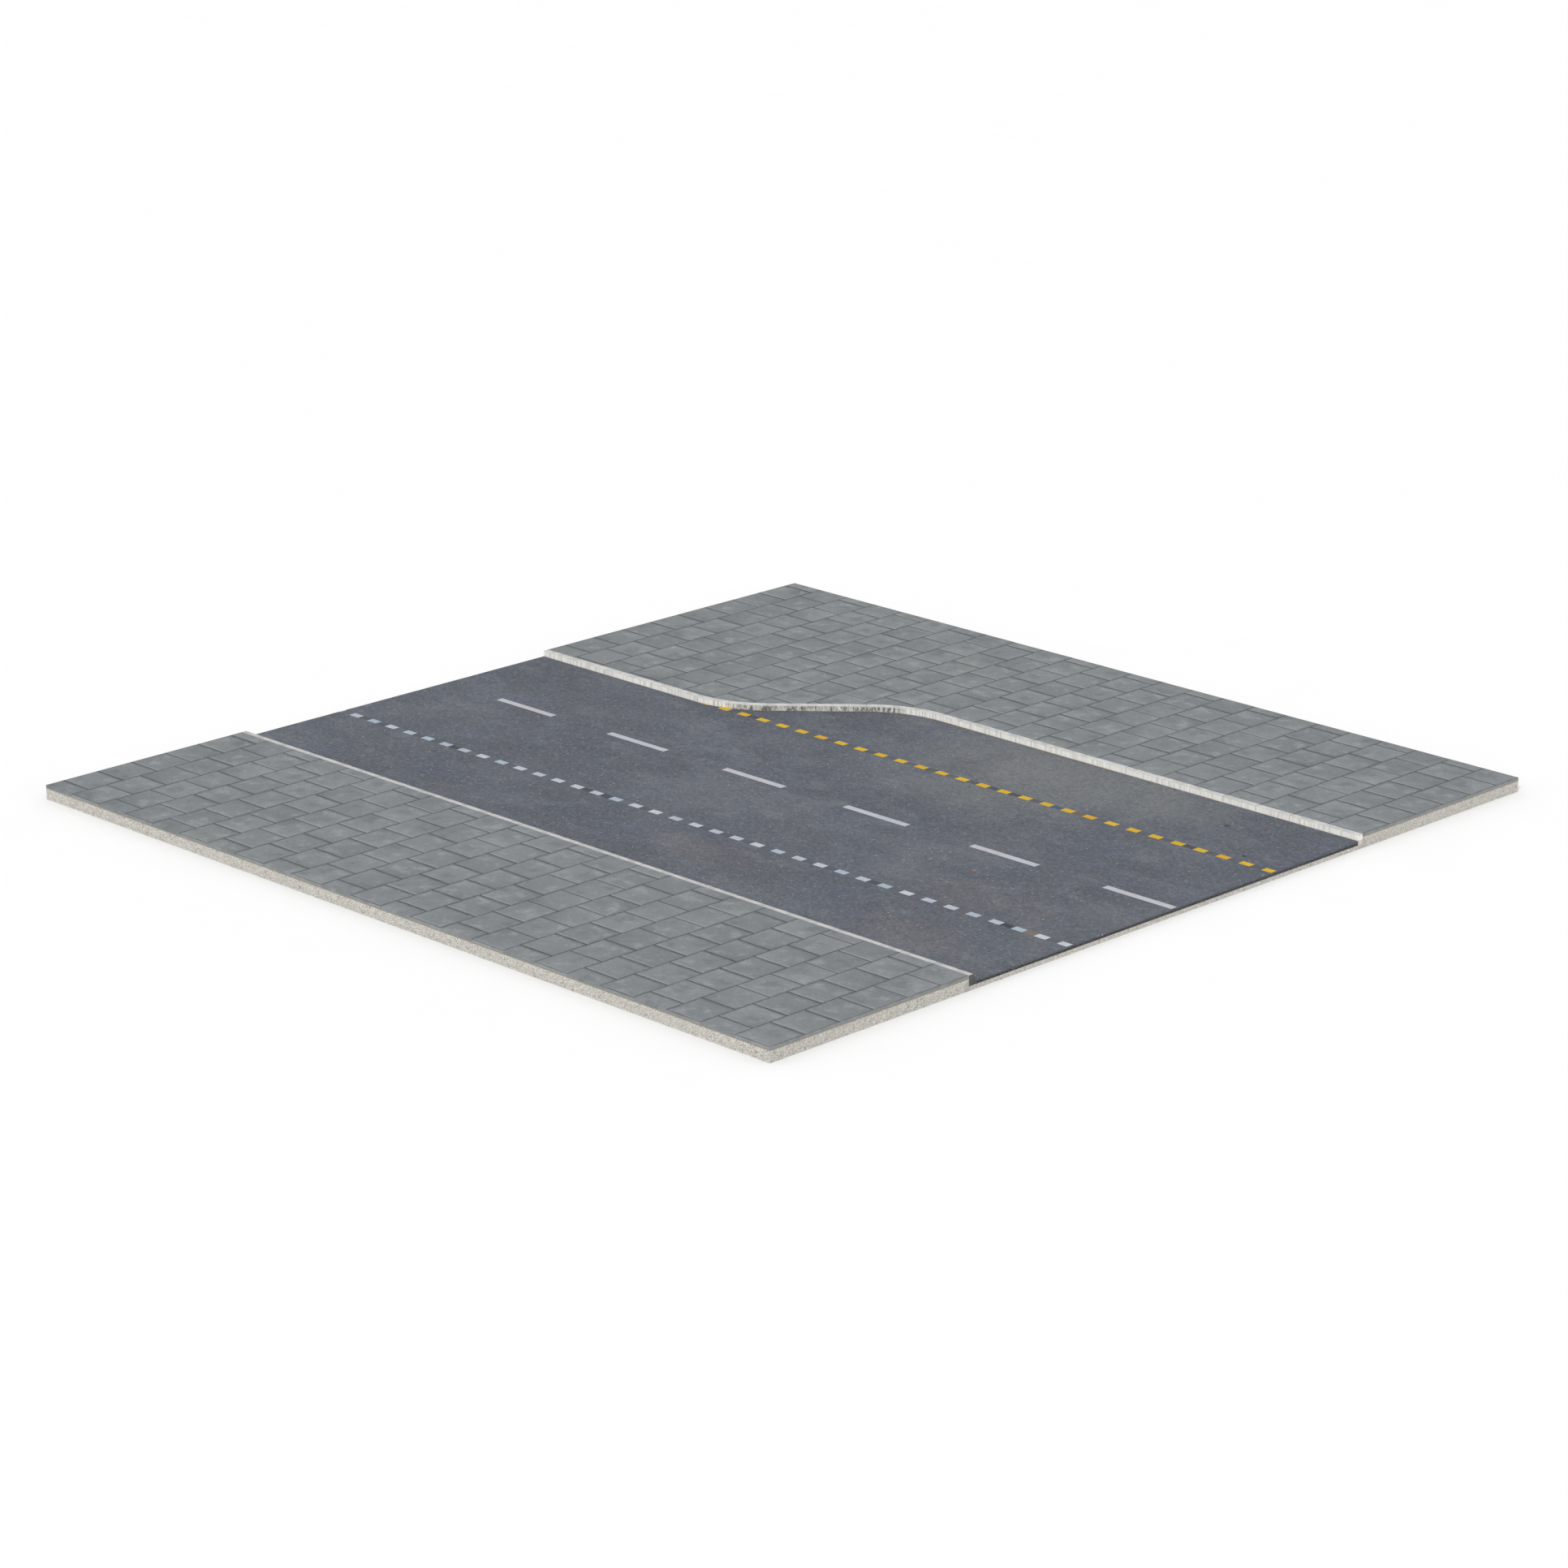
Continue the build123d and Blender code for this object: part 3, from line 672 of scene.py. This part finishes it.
def unitSpans(length):
    # a unit each pitch; the last two share what is left when it would be a stub
    count = max(1, math.ceil((length - kerbJoint) / kerbUnit["pitch"]))
    starts = [index * kerbUnit["pitch"] for index in range(count)]
    if count > 1 and length - starts[-1] < kerbUnit["shortest"]:
        starts[-1] = (starts[-2] + length) / 2
    return list(zip(starts, starts[1:] + [length]))


def kerbSection():
    # depth behind the face and height of the section's points, from the face's foot up and over to the back
    low, high, arris, back = plan["kerbBottom"], plan["kerbTop"], kerbUnit["arris"], kerbUnit["backArris"]
    exposedHeights = np.linspace(plan["roadTop"] + kerbUnit["footRise"], high - arris, 5)
    faceHeights = np.array([low, plan["roadTop"] - kerbUnit["footSink"], *exposedHeights])
    quarter = np.linspace(math.pi, math.pi / 2, 6)[1:]
    roundDepth, roundHeight = arris + arris * np.cos(quarter), high - arris + arris * np.sin(quarter)
    topDepth = np.linspace(arris, kerbWidth - back, 5)[1:]
    depth = np.concatenate([0 * faceHeights, roundDepth, topDepth, [kerbWidth, kerbWidth]])
    height = np.concatenate([faceHeights, roundHeight, 0 * topDepth + high, [high - back, low]])
    return depth, height


def addKerb(name, node, stretch, finish, lastOpen=False):
    # units swept along the kerb line: the section eased in by wear, and by chips at the arris near the ends
    depth, height = kerbSection()
    points, faces, toEnd = [], [], []
    exposed = np.clip((height - plan["roadTop"]) / kerbUnit["wearFoot"], 0, 1) * (depth < kerbWidth - 0.001)
    offArris = (depth - kerbUnit["arris"] * 0.3) ** 2 + (height - plan["kerbTop"]) ** 2
    onArris = np.exp(-offArris / kerbUnit["arrisReach"] ** 2)
    for begin, end in unitSpans(stretch["length"]):
        end = end if lastOpen and end == stretch["length"] else end - kerbJoint
        ease = (1 - np.cos(np.linspace(0, math.pi, kerbUnit["stations"]))) / 2
        station = begin + (end - begin) * (0.6 * ease + 0.4 * np.linspace(0, 1, kerbUnit["stations"]))
        near = np.minimum(station - begin, end - station)
        s, d = np.meshgrid(station, depth, indexing="ij")
        h = np.broadcast_to(height, s.shape)
        worldX, worldY = alongKerb(stretch, s, d)
        rough = rolling(worldX * 3 + h * 9, worldY * 3 + d * 7, kerbUnit["wearSize"], kerbUnit["wearSeed"])
        bites = rolling(worldX * 5, worldY * 5 + h * 17, kerbUnit["chipSize"], kerbUnit["chipSeed"])
        bites = np.clip(bites - kerbUnit["chipFrom"], 0, 1) / (1 - kerbUnit["chipFrom"])
        inward = kerbUnit["wear"] * (0.5 + 0.5 * rough) * exposed
        nearEnd = 0.25 + 0.75 * np.exp(-near / kerbUnit["chipReach"])
        inward = inward + kerbUnit["chip"] * bites * onArris * nearEnd[:, None]
        inward = inward + kerbUnit["endRound"] * exposed * np.exp(-near / kerbUnit["endReach"])[:, None]
        risen = np.clip((h - plan["roadTop"]) / kerbUnit["settleHeight"], 0, 1)
        settle = kerbUnit["settle"] * rng.random() * risen
        towardsCore = np.clip((kerbWidth / 2 - d) / (kerbWidth / 2), 0, 1) ** 0.5
        x, y = alongKerb(stretch, s, d + inward * towardsCore)
        z = h - settle - inward * (h > plan["kerbTop"] - kerbUnit["arris"] * 0.8)
        start = sum(len(block) for block in points)
        rows, columns = s.shape
        points.append(np.stack([x, y, z], -1).reshape(-1, 3))
        ring = start + np.arange(rows * columns).reshape(rows, columns)
        faces += [face[::-1] for face in shellFaces(ring)]
        toEnd.append(np.broadcast_to(near[:, None], s.shape).ravel())
    marks = {"toEnd": np.concatenate(toEnd)}
    addPiece(name, np.concatenate(points), faces, finish, node, marks)


addKerb("nearKerbStones", "near_kerb_units", lines["near"], "kerb", lastOpen=True)
addKerb("throughKerbStones", "through_kerb_units", lines["through"], "kerb")
addKerb("externalRadiusStones", "external_radius_kerbs", lines["external"], "taperKerb")
addKerb("taperStones", "taper_kerb_units", lines["taper"], "taperKerb")
addKerb("internalRadiusStones", "internal_radius_kerbs", lines["internal"], "taperKerb")
addKerb("layByKerbStones", "lay_by_kerb_units", lines["layBy"], "kerb", lastOpen=True)


# flags
flagShape = dict(pitch=1.0, joint=0.005, arris=0.006, drop=0.0035, dish=0.0012, rock=0.0022, smallest=0.05,
                 rows=(-8, 16), rollSize=0.5, rollSeed=61)


def kerbBackAt(x):
    # y of the far kerb's back: the face's two arcs, one tighter and one wider by the kerb's width
    tight, wide = bendRadius - kerbWidth, bendRadius + kerbWidth
    first = tight - np.sqrt(tight**2 - np.clip(x - bendStart, 0, tight * math.sin(bendTurn)) ** 2)
    second = wide - np.sqrt(wide**2 - np.clip(bendEnd - x, 0, wide * math.sin(bendTurn)) ** 2)
    slopeStart = bendStart + tight * math.sin(bendTurn)
    slope = np.maximum(x - slopeStart, 0) * math.tan(bendTurn)
    onSlope = plan["throughBack"] + first + slope
    return np.where(x < bendEnd - wide * math.sin(bendTurn), onSlope, plan["layByBack"] - second)


def flagPlaces(datum, far):
    # square flags, one course per pitch along X, every other course moved on by half a flag
    half = flagShape["joint"] / 2
    whole, cut = [], []
    for course in range(round((plan["east"] - plan["west"]) / flagShape["pitch"])):
        west = plan["west"] + course * flagShape["pitch"]
        east = west + flagShape["pitch"]
        south = plan["throughBack"] if east <= bendStart else plan["layByBack"] if west >= bendEnd else None
        south = south if far else plan["nearEdge"]
        north = plan["farEdge"] if far else plan["nearKerbBack"]
        first = datum + (0.5 * flagShape["pitch"] if course % 2 == 0 else 0)
        for row in range(*flagShape["rows"]):
            base = first + row * flagShape["pitch"]
            top = base + flagShape["pitch"]
            if south is None and base + half < float(kerbBackAt(np.array(east - half))):
                continue
            low = base + half if south is None else max(base + half, south)
            high = min(top - half, north)
            if high - low < flagShape["smallest"]:
                continue
            full = high - low > flagShape["pitch"] - 3 * half
            (whole if full else cut).append((west + half, east - half, low, high))
    return np.array(whole), np.array(cut)


def addFlags(name, node, places, finish):
    # each flag: a grid of six by six points with worn arrises, slightly dished and rocked out of level
    arris, share = flagShape["arris"], np.array([0, 0, 1 / 3, 2 / 3, 1, 1])
    shareIn = np.array([0, 1, 0, 0, -1, 0]) * arris
    west, east, south, north = (places[:, column, None, None] for column in range(4))
    x = west + (east - west) * share[:, None] + shareIn[:, None] + 0 * south
    y = south + (north - south) * share[None, :] + shareIn[None, :] + 0 * west
    x, y = np.broadcast_arrays(x, y)
    onRim = np.zeros((6, 6))
    onRim[[0, -1], :] = 1
    onRim[:, [0, -1]] = 1
    count = len(places)
    tilt = rng.uniform(-0.5, 0.5, (2, count, 1, 1))
    u, v = share[:, None] - 0.5, share[None, :] - 0.5
    rock = flagShape["rock"] * (tilt[0] * u * 2 + tilt[1] * v * 2)
    dish = flagShape["dish"] * rng.random((count, 1, 1)) * (1 - 4 * np.maximum(u**2, v**2))
    rolled = rolling(x, y, flagShape["rollSize"], flagShape["rollSeed"])
    level = rock - dish + flagShape["dish"] * 0.3 * rolled
    level = level - level.max((1, 2), keepdims=True) - flagShape["rock"] * 0.3 * rng.random((count, 1, 1))
    z = plan["kerbTop"] + level - flagShape["drop"] * onRim
    points, faces = slabs(np.stack([x, y, z], -1), plan["flagBottom"], 6, 6)
    addPiece(name, points, faces, finish, node)


nearWhole, nearCut = flagPlaces(plan["nearEdge"], False)
farWhole, farCut = flagPlaces(plan["layByBack"], True)
addFlags("nearFlags", "near_footway_flags", nearWhole, "nearFlags")
addFlags("nearCutFlags", "near_footway_cut_flags", nearCut, "nearFlags")
addFlags("farFlags", "far_footway_flags", farWhole, "farFlags")
addFlags("farCutFlags", "far_footway_cut_flags", farCut, "farFlags")
print("flags laid:", len(nearWhole), len(nearCut), len(farWhole), len(farCut))


# carriageway mats
mat = dict(rut=0.0012, wave=0.0008, waveSize=1.9, waveSeed=71, step=0.085, trackHalf=0.85, trackWidth=0.28,
           seam=0.0005, seamWidth=0.03)


def roadHeight(x, y):
    # worn road level: the road's top less two wheel tracks in each lane, slow waves and a dip at each seam
    edges = (plan["nearFace"], plan["shortLine"], plan["longLine"], plan["layByLine"])
    middles = [(south + north) / 2 for south, north in zip(edges, edges[1:])]
    fromTracks = [(np.abs(y - middle) - mat["trackHalf"]) / mat["trackWidth"] for middle in middles]
    tracks = sum(np.exp(-(away**2)) for away in fromTracks)
    seams = sum(np.exp(-(((y - edge) / mat["seamWidth"]) ** 2)) for edge in edges[1:])
    waves = 0.5 + 0.5 * rolling(x, y, mat["waveSize"], mat["waveSeed"])
    return plan["roadTop"] - mat["rut"] * tracks - mat["wave"] * waves - mat["seam"] * seams


def addMat(name, node, west, south, north, finish):
    # one asphalt mat: a grid between two edge lines whose top is the worn road level
    rows = round((plan["east"] - west) / mat["step"])
    widest = np.max(north(np.linspace(west, plan["east"], 50)) - south)
    columns = round(widest / mat["step"])
    x = np.linspace(west, plan["east"], rows)[:, None]
    share = np.linspace(0, 1, columns)[None, :]
    y = south + (north(x) - south) * share
    x = np.broadcast_to(x, y.shape)
    top = np.stack([x, y, roadHeight(x, y)], -1)[None]
    points, faces = slabs(top, plan["binderTop"], rows, columns)
    addPiece(name, points, faces, finish, node)


def levelLine(y):
    # an edge line of constant y
    return lambda x: np.full_like(x, y)


# the lay-by's line leaves the kerb on its first bend, whose circle gives the place
lineOut = plan["layByLine"] - plan["throughFace"]
kerbMeetsLine = bendStart + math.sqrt(2 * bendRadius * lineOut - lineOut**2)
laneMats = (("nearLaneMat", "near_lane_surface", plan["nearFace"], levelLine(plan["shortLine"])),
            ("middleLaneMat", "middle_lane_surface", plan["shortLine"], levelLine(plan["longLine"])),
            ("farLaneMat", "far_lane_surface", plan["longLine"],
             lambda x: np.minimum(kerbFaceAt(x), plan["layByLine"])))
for name, node, south, north in laneMats:
    addMat(name, node, plan["west"], south, north, "lanes")
addMat("layByMat", "lay_by_surface", kerbMeetsLine, plan["layByLine"],
       lambda x: np.maximum(kerbFaceAt(x), plan["layByLine"] + 1e-5), "layBy")


# line markings
marking = dict(width=0.2, thickness=0.003, patchThickness=0.0015, longMark=2.0, longFirst=2.0, longPitch=4.0,
               shortMark=1 / 3, shortFirst=0.38, ragged=0.006, flare=0.002, sunk=0.0004, smallest=0.04,
               clear=0.02, most=60)


def dashSpans(first, mark, pitch):
    # west and east end of each dash, cut off at the section's ends
    begin = plan["west"] + first + pitch * np.arange(-1, marking["most"])
    spans = np.clip(np.stack([begin, begin + mark], 1), plan["west"], plan["east"])
    return spans[spans[:, 1] - spans[:, 0] > marking["smallest"]]


def addMarks(name, node, spans, lineY, thickness, rows, finish):
    # each mark: a thin slab on the worn road level, its ragged outline a few millimetres inside the true one
    half, columns = marking["width"] / 2, 4
    share = np.linspace(0, 1, rows)[None, :, None]
    x = spans[:, :1, None] + (spans[:, 1:] - spans[:, :1])[:, :, None] * share
    x = np.repeat(x, columns, 2)
    north = np.minimum(lineY + half, kerbFaceAt(x)) if lineY > 0 else np.full_like(x, lineY + half)
    across = np.linspace(0, 1, columns)[None, None, :]
    y = lineY - half + (north - lineY + half) * across
    worn = marking["ragged"] * rng.random((2,) + x.shape)
    inX = (np.arange(rows) == 0).astype(float) - (np.arange(rows) == rows - 1)
    inY = (np.arange(columns) == 0).astype(float) - (np.arange(columns) == columns - 1)
    x = x + inX[None, :, None] * (worn[0] + marking["flare"]) * (np.abs(x) < plan["east"] - 0.001)
    y = y + inY[None, None, :] * (worn[1] + marking["flare"])
    edge = np.maximum(np.abs(inX)[None, :, None], np.abs(inY)[None, None, :])
    lift = thickness * (0.82 + 0.18 * rng.random(x.shape)) * (1 - 0.35 * edge)
    z = roadHeight(x, y) + lift
    points, faces = slabs(np.stack([x, y, z], -1), 0.0, rows, columns, marking["flare"])
    points = points.reshape(len(spans), -1, 3)
    under = points[:, rows * columns:]
    under[..., 0] = np.clip(under[..., 0], plan["west"], plan["east"])
    under[..., 2] = roadHeight(under[..., 0], under[..., 1]) - marking["sunk"]
    addPiece(name, points, faces, finish, node)


shortPitch = 2 * marking["shortMark"]
longSpans = dashSpans(marking["longFirst"], marking["longMark"], marking["longPitch"])
shortSpans = dashSpans(marking["shortFirst"], marking["shortMark"], shortPitch)
patchSpans = dashSpans(marking["shortFirst"] + marking["shortMark"], marking["shortMark"], shortPitch)


def beyondKerb(spans):
    # the dashes of the lay-by's line that lie clear of the kerb
    room = kerbFaceAt(spans[:, 1]) - (plan["layByLine"] - marking["width"] / 2)
    return spans[room > marking["clear"]]


thick, thin = marking["thickness"], marking["patchThickness"]
shortLine, layByLine = plan["shortLine"], plan["layByLine"]
addMarks("longMarks", "lane_line_long_marks", longSpans, plan["longLine"], thick, 14, "white")
addMarks("shortMarks", "short_line_marks", shortSpans, shortLine, thick, 7, "shortWhite")
addMarks("shortPatches", "short_line_patches", patchSpans, shortLine, thin, 7, "patch")
clearMarks, clearPatches = beyondKerb(shortSpans), beyondKerb(patchSpans)
addMarks("layByMarks", "lay_by_line_marks", clearMarks, layByLine, thick, 7, "yellow")
addMarks("layByPatches", "lay_by_line_patches", clearPatches, layByLine, thin, 7, "patch")
print("surfaces made")


# granular and bound layers, with their stones in relief where the section is cut
layer = dict(step=0.022, levelStep=0.02, rock=(0.05, 0.009), binder=(0.022, 0.003), capShare=0.35,
             bendSteps=24, bedBack=0.3, haunchDrop=0.1)


def stoneHollow(along, up, size, seed):
    # 0 on a stone's crown, 1 between stones: each cell holds one scattered point, and the value falls as the
    # second nearest point gets further away than the nearest
    u, v = along / size, up / size
    nearest = np.full(u.shape, 9.0)
    following = np.full(u.shape, 9.0)
    for stepU in (-1, 0, 1):
        for stepV in (-1, 0, 1):
            cellU, cellV = np.floor(u) + stepU, np.floor(v) + stepV
            scatterU = np.abs(np.sin(cellU * 12.9898 + cellV * 78.233 + seed) * 43758.5453) % 1
            scatterV = np.abs(np.sin(cellU * 39.3461 + cellV * 11.135 + seed) * 24634.6345) % 1
            away = np.hypot(cellU + scatterU - u, cellV + scatterV - v)
            following = np.minimum(following, np.maximum(away, nearest))
            nearest = np.minimum(nearest, away)
    return np.clip(1 - (following - nearest) * 2.2, 0, 1) ** 1.5


def straightSide(start, end, rough):
    # a side of a layer in plan: close points where its stones show, two where it is hidden
    reach = math.hypot(end[0] - start[0], end[1] - start[1])
    count = max(2, round(reach / layer["step"])) if rough else 2
    share = np.linspace(0, 1, count)[:, None]
    return np.array(start) + (np.array(end) - np.array(start)) * share, rough


def kerbSide(behind):
    # the far kerb line from west to east at a depth behind its face, as one hidden side
    runs = []
    for stretch in farLines:
        count = layer["bendSteps"] if stretch["radius"] else 2
        distance = np.linspace(0, stretch["length"], count)
        run = np.stack(alongKerb(stretch, distance, np.full(count, behind)), 1)
        runs.append(run if stretch is farLines[-1] else run[:-1])
    return np.concatenate(runs), False


def layerShell(sides, low, high, grain, seed):
    # an outline carried up in levels, its rough sides eased in between the stones, with a cap at each end
    stone, depth = grain
    outline, rough = [], []
    for points, isRough in sides:
        mask = np.full(len(points), float(isRough))
        mask[[0, -1]] = 0
        outline.append(points[:-1])
        rough.append(mask[:-1])
    outline, rough = np.concatenate(outline), np.concatenate(rough)
    forward = np.roll(outline, -1, 0) - np.roll(outline, 1, 0)
    forward /= np.linalg.norm(forward, axis=1)[:, None]
    inward = np.stack([-forward[:, 1], forward[:, 0]], 1)
    travelled = np.concatenate([[0], np.cumsum(np.linalg.norm(np.diff(outline, axis=0), axis=1))])
    levels = np.linspace(low, high, max(3, round((high - low) / layer["levelStep"])) + 1)
    along, up = np.meshgrid(travelled, levels, indexing="xy")
    atCap = np.ones(len(levels))
    atCap[[0, -1]] = layer["capShare"]
    hollow = stoneHollow(along, up, stone, seed) * rough[None, :]
    eased = depth * hollow * atCap[:, None]
    x, y = (outline[None, :, axis] + eased * inward[None, :, axis] for axis in (0, 1))
    points = np.stack([x, y, up], -1).reshape(-1, 3)
    index = np.arange(points.shape[0]).reshape(len(levels), -1)
    return points, shellFaces(index), hollow.ravel()


def wedgeShell(stretches):
    # the sliver of sub-base over a haunch: a triangle swept along the kerb line
    depth = np.array([kerbWidth, layer["bedBack"], layer["bedBack"]])
    height = plan["layingBottom"] - np.array([0, 0, layer["haunchDrop"]])
    rows = []
    for stretch in stretches:
        count = layer["bendSteps"] if stretch["radius"] else 2
        s, d = np.meshgrid(np.linspace(0, stretch["length"], count), depth, indexing="ij")
        x, y = alongKerb(stretch, s, d)
        row = np.stack([x, y, np.broadcast_to(height, s.shape)], -1)
        rows.append(row if stretch is stretches[-1] else row[:-1])
    ring = np.concatenate(rows)
    index = np.arange(len(ring) * 3).reshape(-1, 3)
    return ring.reshape(-1, 3), shellFaces(index), np.zeros(index.size)


def addLayer(name, node, shells, finish):
    # one piece from several closed shells, its points marked by how hollow they are
    points, faces, hollows = [], [], []
    for block, blockFaces, hollow in shells:
        start = sum(len(earlier) for earlier in points)
        points.append(block)
        faces += [[corner + start for corner in face] for face in blockFaces]
        hollows.append(hollow)
    addPiece(name, np.concatenate(points), faces, finish, node, {"hollow": np.concatenate(hollows)})


west, east, near, far = plan["west"], plan["east"], plan["nearEdge"], plan["farEdge"]
nearFace, throughFace, layByFace = plan["nearFace"], plan["throughFace"], plan["layByFace"]
nearBack = nearFace - layer["bedBack"]
throughBack, layByBack = throughFace + layer["bedBack"], layByFace + layer["bedBack"]
nearOutline = [straightSide((west, near), (east, near), True),
               straightSide((east, near), (east, nearBack), True),
               straightSide((east, nearBack), (west, nearBack), False),
               straightSide((west, nearBack), (west, near), True)]
farOutline = [kerbSide(layer["bedBack"]), straightSide((east, layByBack), (east, far), True),
              straightSide((east, far), (west, far), True),
              straightSide((west, far), (west, throughBack), True)]
roadOutline = [straightSide((west, nearFace), (east, nearFace), False),
               straightSide((east, nearFace), (east, layByFace), True), (kerbSide(0.0)[0][::-1], False),
               straightSide((west, throughFace), (west, nearFace), True)]
layingBottom, subBaseTop, binderTop = plan["layingBottom"], plan["subBaseTop"], plan["binderTop"]
nearRock = [layerShell(nearOutline, 0.0, layingBottom, layer["rock"], 3.0), wedgeShell([lines["near"]])]
farRock = [layerShell(farOutline, 0.0, layingBottom, layer["rock"], 5.0), wedgeShell(farLines)]
roadRock = [layerShell(roadOutline, 0.0, subBaseTop, layer["rock"], 7.0)]
binder = [layerShell(roadOutline, subBaseTop, binderTop, layer["binder"], 9.0)]
addLayer("nearSubBaseRock", "near_footway_sub_base", nearRock, "rock")
addLayer("farSubBaseRock", "far_footway_sub_base", farRock, "rock")
addLayer("roadSubBaseRock", "carriageway_sub_base", roadRock, "rock")
addLayer("binderLayer", "binder_course", binder, "binder")
print("layers cut")


# camera, light and floor
view = dict(lens=110, sensor=36, location=(75.52, -75.52, 34.63), down=18, turn=45)
camera = bpy.data.cameras.new("camera")
camera.lens = view["lens"]
camera.sensor_width = view["sensor"]
camera.clip_end = 2000
cameraObject = bpy.data.objects.new("camera", camera)
bpy.context.scene.collection.objects.link(cameraObject)
cameraObject.location = (view["location"][0], view["location"][1], view["location"][2] + plan["kerbTop"])
cameraObject.rotation_euler = (math.radians(90 - view["down"]), 0, math.radians(view["turn"]))
bpy.context.scene.camera = cameraObject

world = bpy.data.worlds.new("studio")
bpy.context.scene.world = world
world.use_nodes = True
world.node_tree.nodes["Background"].inputs[0].default_value = (1, 1, 1, 1)
world.node_tree.nodes["Background"].inputs[1].default_value = studio["skyStrength"]
sun = bpy.data.lights.new("key", "SUN")
sun.energy = studio["sunStrength"]
sun.angle = math.radians(studio["sunAngle"])
sunObject = bpy.data.objects.new("key", sun)
bpy.context.scene.collection.objects.link(sunObject)
sunObject.rotation_euler = Vector(studio["sunFrom"]).to_track_quat("Z", "Y").to_euler()
bpy.context.scene.view_settings.view_transform = "Standard"


def studioFloor():
    # a wide pale sheet just under the section
    paint = Paint("floorPaint", {}, 0.5)
    paint.colour = paint.mix(paint.noise(0.5), (0.86, 0.86, 0.86, 1), (0.88, 0.88, 0.88, 1))
    material = paint.finish(0.9)
    reach = 700
    mesh = bpy.data.meshes.new("floor")
    corners = [(-reach, -reach, 0), (reach, -reach, 0), (reach, reach, 0), (-reach, reach, 0)]
    mesh.from_pydata(corners, [], [(0, 1, 2, 3)])
    mesh.materials.append(material)
    floor = bpy.data.objects.new("floor", mesh)
    floor.location.z = cadBox[0][2] - 0.002
    bpy.context.scene.collection.objects.link(floor)


studioFloor()
print("studio set")
